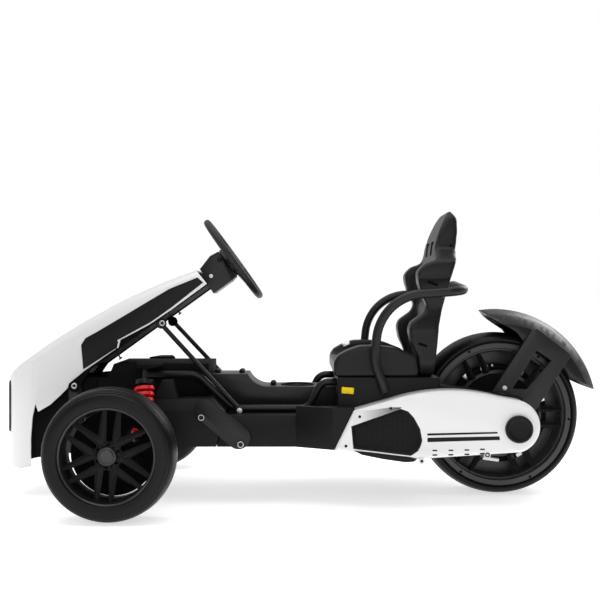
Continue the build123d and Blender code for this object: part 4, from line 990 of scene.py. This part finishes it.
class KART_OT_fixings(KartStep):
    """Set the bolts, rings, pins and sleeves of the open frame, and the console's knobs and ring"""

    bl_idname = "kart.fixings"
    bl_label = "Fixings"

    # Y and Z on the left side, sizes, and the nodes that each stands on, in millimetres
    rings = ((-206.4, 181.5, 6.8, 4.3, 3.0, "link_arms"), (-126.3, 126.9, 6.8, 4.3, 3.0, "link_arms"),
             (-295.5, 372.0, 6.0, 3.6, 2.0, "hood_struts", "column_frame"),
             (-482.0, 239.4, 6.0, 3.4, 2.0, "hinge_brackets", "column_frame"))
    heads = ((-131.8, 190.0, 3.6, 1.8, "hood_struts", "frame_rail_left"),
             (429.7, 234.0, 3.4, 2.0, "fender_brackets"), (-199.1, 472.9, 2.8, 1.2, "column_housing"))
    sunk = 0.3
    # Share of a ring's radius at which it is also tried for a landing
    rim_share = 0.8
    # The hood's pins where stem and tip meet, their way down, length and radius of both, and the tip's edge
    pins = ((-75, -280.3, 390.7), (0, -403.0, 292.8))
    pin_way = (0, 0.55, -0.83)
    stem, tip = (30, 1.8), (3, 4.2, 0.6)
    # Ends and radius of the left damper's sleeve
    sleeve = ((176.6, -323, 254), (168.4, -323, 279.5))
    sleeve_radius = 4.8
    # Y of the console's knobs with length, width, height, depth and edge
    knobs = ((-186, 13, 44, 8, 2, 5), (-133, 13, 44, 8, 2, 5), (-64, 13, 44, 9, 2, 5))
    # Y of the cup ring's middle, Y where its height is taken, how far it is sunk, and its size
    cup_y, cup_edge_y, cup_sunk = -11, 26, 0.4
    cup_ring = (37, 33.4, 3)

    def execute(self, context):
        steel_bits, black_bits, console = (bmesh.new() for _ in range(3))
        for _, sign in SIDES:
            along = (sign, 0, 0)
            for y, z, outer, inner, height, *nodes in self.rings:
                shifts = (0, outer * self.rim_share)
                x = max(landing(y + shift, z, *nodes) for shift in shifts) - self.sunk
                ring(steel_bits, Vector((sign * x, y, z)) * MM, along, outer, inner, height)
            for y, z, radius, height, *nodes in self.heads:
                x = landing(y, z, *nodes) - self.sunk
                bolt(steel_bits, Vector((sign * x, y, z)) * MM, along, radius, height)
        down = Vector(self.pin_way) * MM
        for pin in self.pins:
            place = Vector(pin) * MM
            length, radius = self.stem
            rod(black_bits, place - down * length, place, radius * MM, 12)
            length, radius, edge = self.tip
            rod(black_bits, place, place + down * length, radius * MM, 16, edge * MM)
        for _, sign in SIDES:
            low, high = (Vector((sign * x, y, z)) * MM for x, y, z in self.sleeve)
            rod(black_bits, low, high, self.sleeve_radius * MM)
        for y, *block in self.knobs:
            place, _ = struck(NODES["console"], (0, y, FAR), (0, 0, -1))
            chip(console, place, (0, 0, 1), (0, 1, 0), *block)
        place, _ = struck(NODES["console"], (0, self.cup_edge_y, FAR), (0, 0, -1))
        place = Vector((0, self.cup_y * MM, place.z - self.cup_sunk * MM))
        ring(console, place, (0, 0, 1), *self.cup_ring)
        finish("console_knobs", console, "black_satin")
        finish("fixing_rings", steel_bits, "bare_steel")
        finish("hood_pins", black_bits, "black_metal")
        return {"FINISHED"}


class KART_OT_stage(KartStep):
    """Floor, soft lights and the camera"""

    bl_idname = "kart.stage"
    bl_label = "Stage"

    # Place, width and height in metres, and power in watts
    lights = {"top_box": ((0.4, -0.3, 2.6), (2.8, 2.4), 36), "front_box": ((1.3, -2.9, 1.9), (1.8, 1.8), 7),
              "side_box": ((3.0, 0.2, 1.4), (2.0, 1.6), 20), "back_box": ((-1.8, 1.9, 1.7), (1.4, 1.4), 24)}
    aim = (0, 0, 0.25)
    floor_radius = 40.0
    # The floor's glow near the kart and far off, and where and over what distance it changes, in metres
    glow_near, glow_far, glow_edge, glow_width = 0.62, 0.66, 2.2, 2.6
    # The studio's own light weakens from the far side towards the camera's side
    dome = {"From Min": -0.3, "From Max": 0.7, "To Min": 0.62, "To Max": 0.13}
    # The photograph's side in pixels, how far its middle lies below the eye level, and the camera's Y
    pixels, pixels_down, camera_y = 600, 2, -0.0053
    sensor = 36.0

    def lamp(self, name, place, size, power):
        data = bpy.data.lights.new(name, "AREA")
        data.shape = "RECTANGLE"
        data.size, data.size_y = size
        data.energy = power
        lamp = placed(name, data)
        lamp.location = place
        lamp.rotation_euler = (Vector(self.aim) - Vector(place)).to_track_quat("-Z", "Y").to_euler()

    def floor(self, stage):
        paint = Paint("floor_pale")
        colour = tuple(stage.floor)
        tone = paint.between(paint.noise(0.7, 2.0), shade(colour, 0.99), shade(colour, 1.01))
        far = (paint.axis("X") ** 2.0 + paint.axis("Y") ** 2.0) ** 0.5
        near, away = ((glow,) * 3 for glow in (self.glow_near, self.glow_far))
        glow = paint.between(far.over(self.glow_edge, self.glow_width), near, away)
        paint.set(Base_Color=tone, Roughness=0.7, Specular_IOR_Level=0.2, Emission_Color=glow,
                  Emission_Strength=1.0)
        bm = bmesh.new()
        bmesh.ops.create_circle(bm, cap_ends=True, segments=64, radius=self.floor_radius)
        floor = meshed("floor", bm)
        floor.data.materials.append(paint.material)

    def world(self):
        """White to the camera, and a soft light that weakens from side to side on the kart."""
        world = bpy.data.worlds.new("studio")
        world.use_nodes = True
        nodes, links = world.node_tree.nodes, world.node_tree.links
        back = next(node for node in nodes if node.type == "BACKGROUND")
        back.inputs["Color"].default_value = (1, 1, 1, 1)
        split = nodes.new("ShaderNodeSeparateXYZ")
        links.new(nodes.new("ShaderNodeTexCoord").outputs["Generated"], split.inputs[0])
        dome = nodes.new("ShaderNodeMapRange")
        for name, value in self.dome.items():
            dome.inputs[name].default_value = value
        links.new(split.outputs["X"], dome.inputs["Value"])
        seen = nodes.new("ShaderNodeMix")
        seen.inputs["B"].default_value = 1.0
        links.new(nodes.new("ShaderNodeLightPath").outputs["Is Camera Ray"], seen.inputs["Factor"])
        links.new(dome.outputs["Result"], seen.inputs["A"])
        links.new(seen.outputs["Result"], back.inputs["Strength"])
        return world

    def camera(self, stage):
        data = bpy.data.cameras.new("camera")
        data.lens = stage.lens
        data.sensor_width = self.sensor
        data.shift_y = -self.pixels_down / self.pixels
        camera = placed("camera", data)
        camera.location = (stage.distance, self.camera_y, stage.height)
        camera.rotation_euler = (radians(90), 0, radians(90))
        return camera

    def execute(self, context):
        stage = context.scene.kart_stage
        self.floor(stage)
        context.scene.world = self.world()
        context.scene.view_settings.view_transform = "Standard"
        for name, (place, size, power) in self.lights.items():
            self.lamp(name, place, size, power)
        context.scene.camera = self.camera(stage)
        return {"FINISHED"}


STEPS = (KART_OT_finishes, KART_OT_tyres, KART_OT_rims, KART_OT_bodywork, KART_OT_covers, KART_OT_seat,
         KART_OT_steering, KART_OT_fixings, KART_OT_stage)
GROUPS = {"kart_colours": KartColours, "kart_sizes": KartSizes, "kart_stage": KartStage}


class KART_PT_panel(bpy.types.Panel):
    """The kart's steps and settings"""

    bl_idname = "KART_PT_panel"
    bl_label = "Racing kart"
    bl_space_type = "VIEW_3D"
    bl_region_type = "UI"
    bl_category = "Kart"

    def draw(self, context):
        for group in GROUPS:
            settings = getattr(context.scene, group)
            for name in settings.bl_rna.properties.keys():
                if name not in ("rna_type", "name"):
                    self.layout.prop(settings, name)
        for step in STEPS:
            self.layout.operator(step.bl_idname)


CLASSES = (*GROUPS.values(), *STEPS, KART_PT_panel)


def register():
    for kind in CLASSES:
        bpy.utils.register_class(kind)
    for name, group in GROUPS.items():
        setattr(bpy.types.Scene, name, bpy.props.PointerProperty(type=group))


def unregister():
    for name in GROUPS:
        delattr(bpy.types.Scene, name)
    for kind in reversed(CLASSES):
        bpy.utils.unregister_class(kind)


def main():
    register()
    for step in STEPS:
        group, call = step.bl_idname.split(".")
        getattr(getattr(bpy.ops, group), call)()


if __name__ == "__main__":
    main()
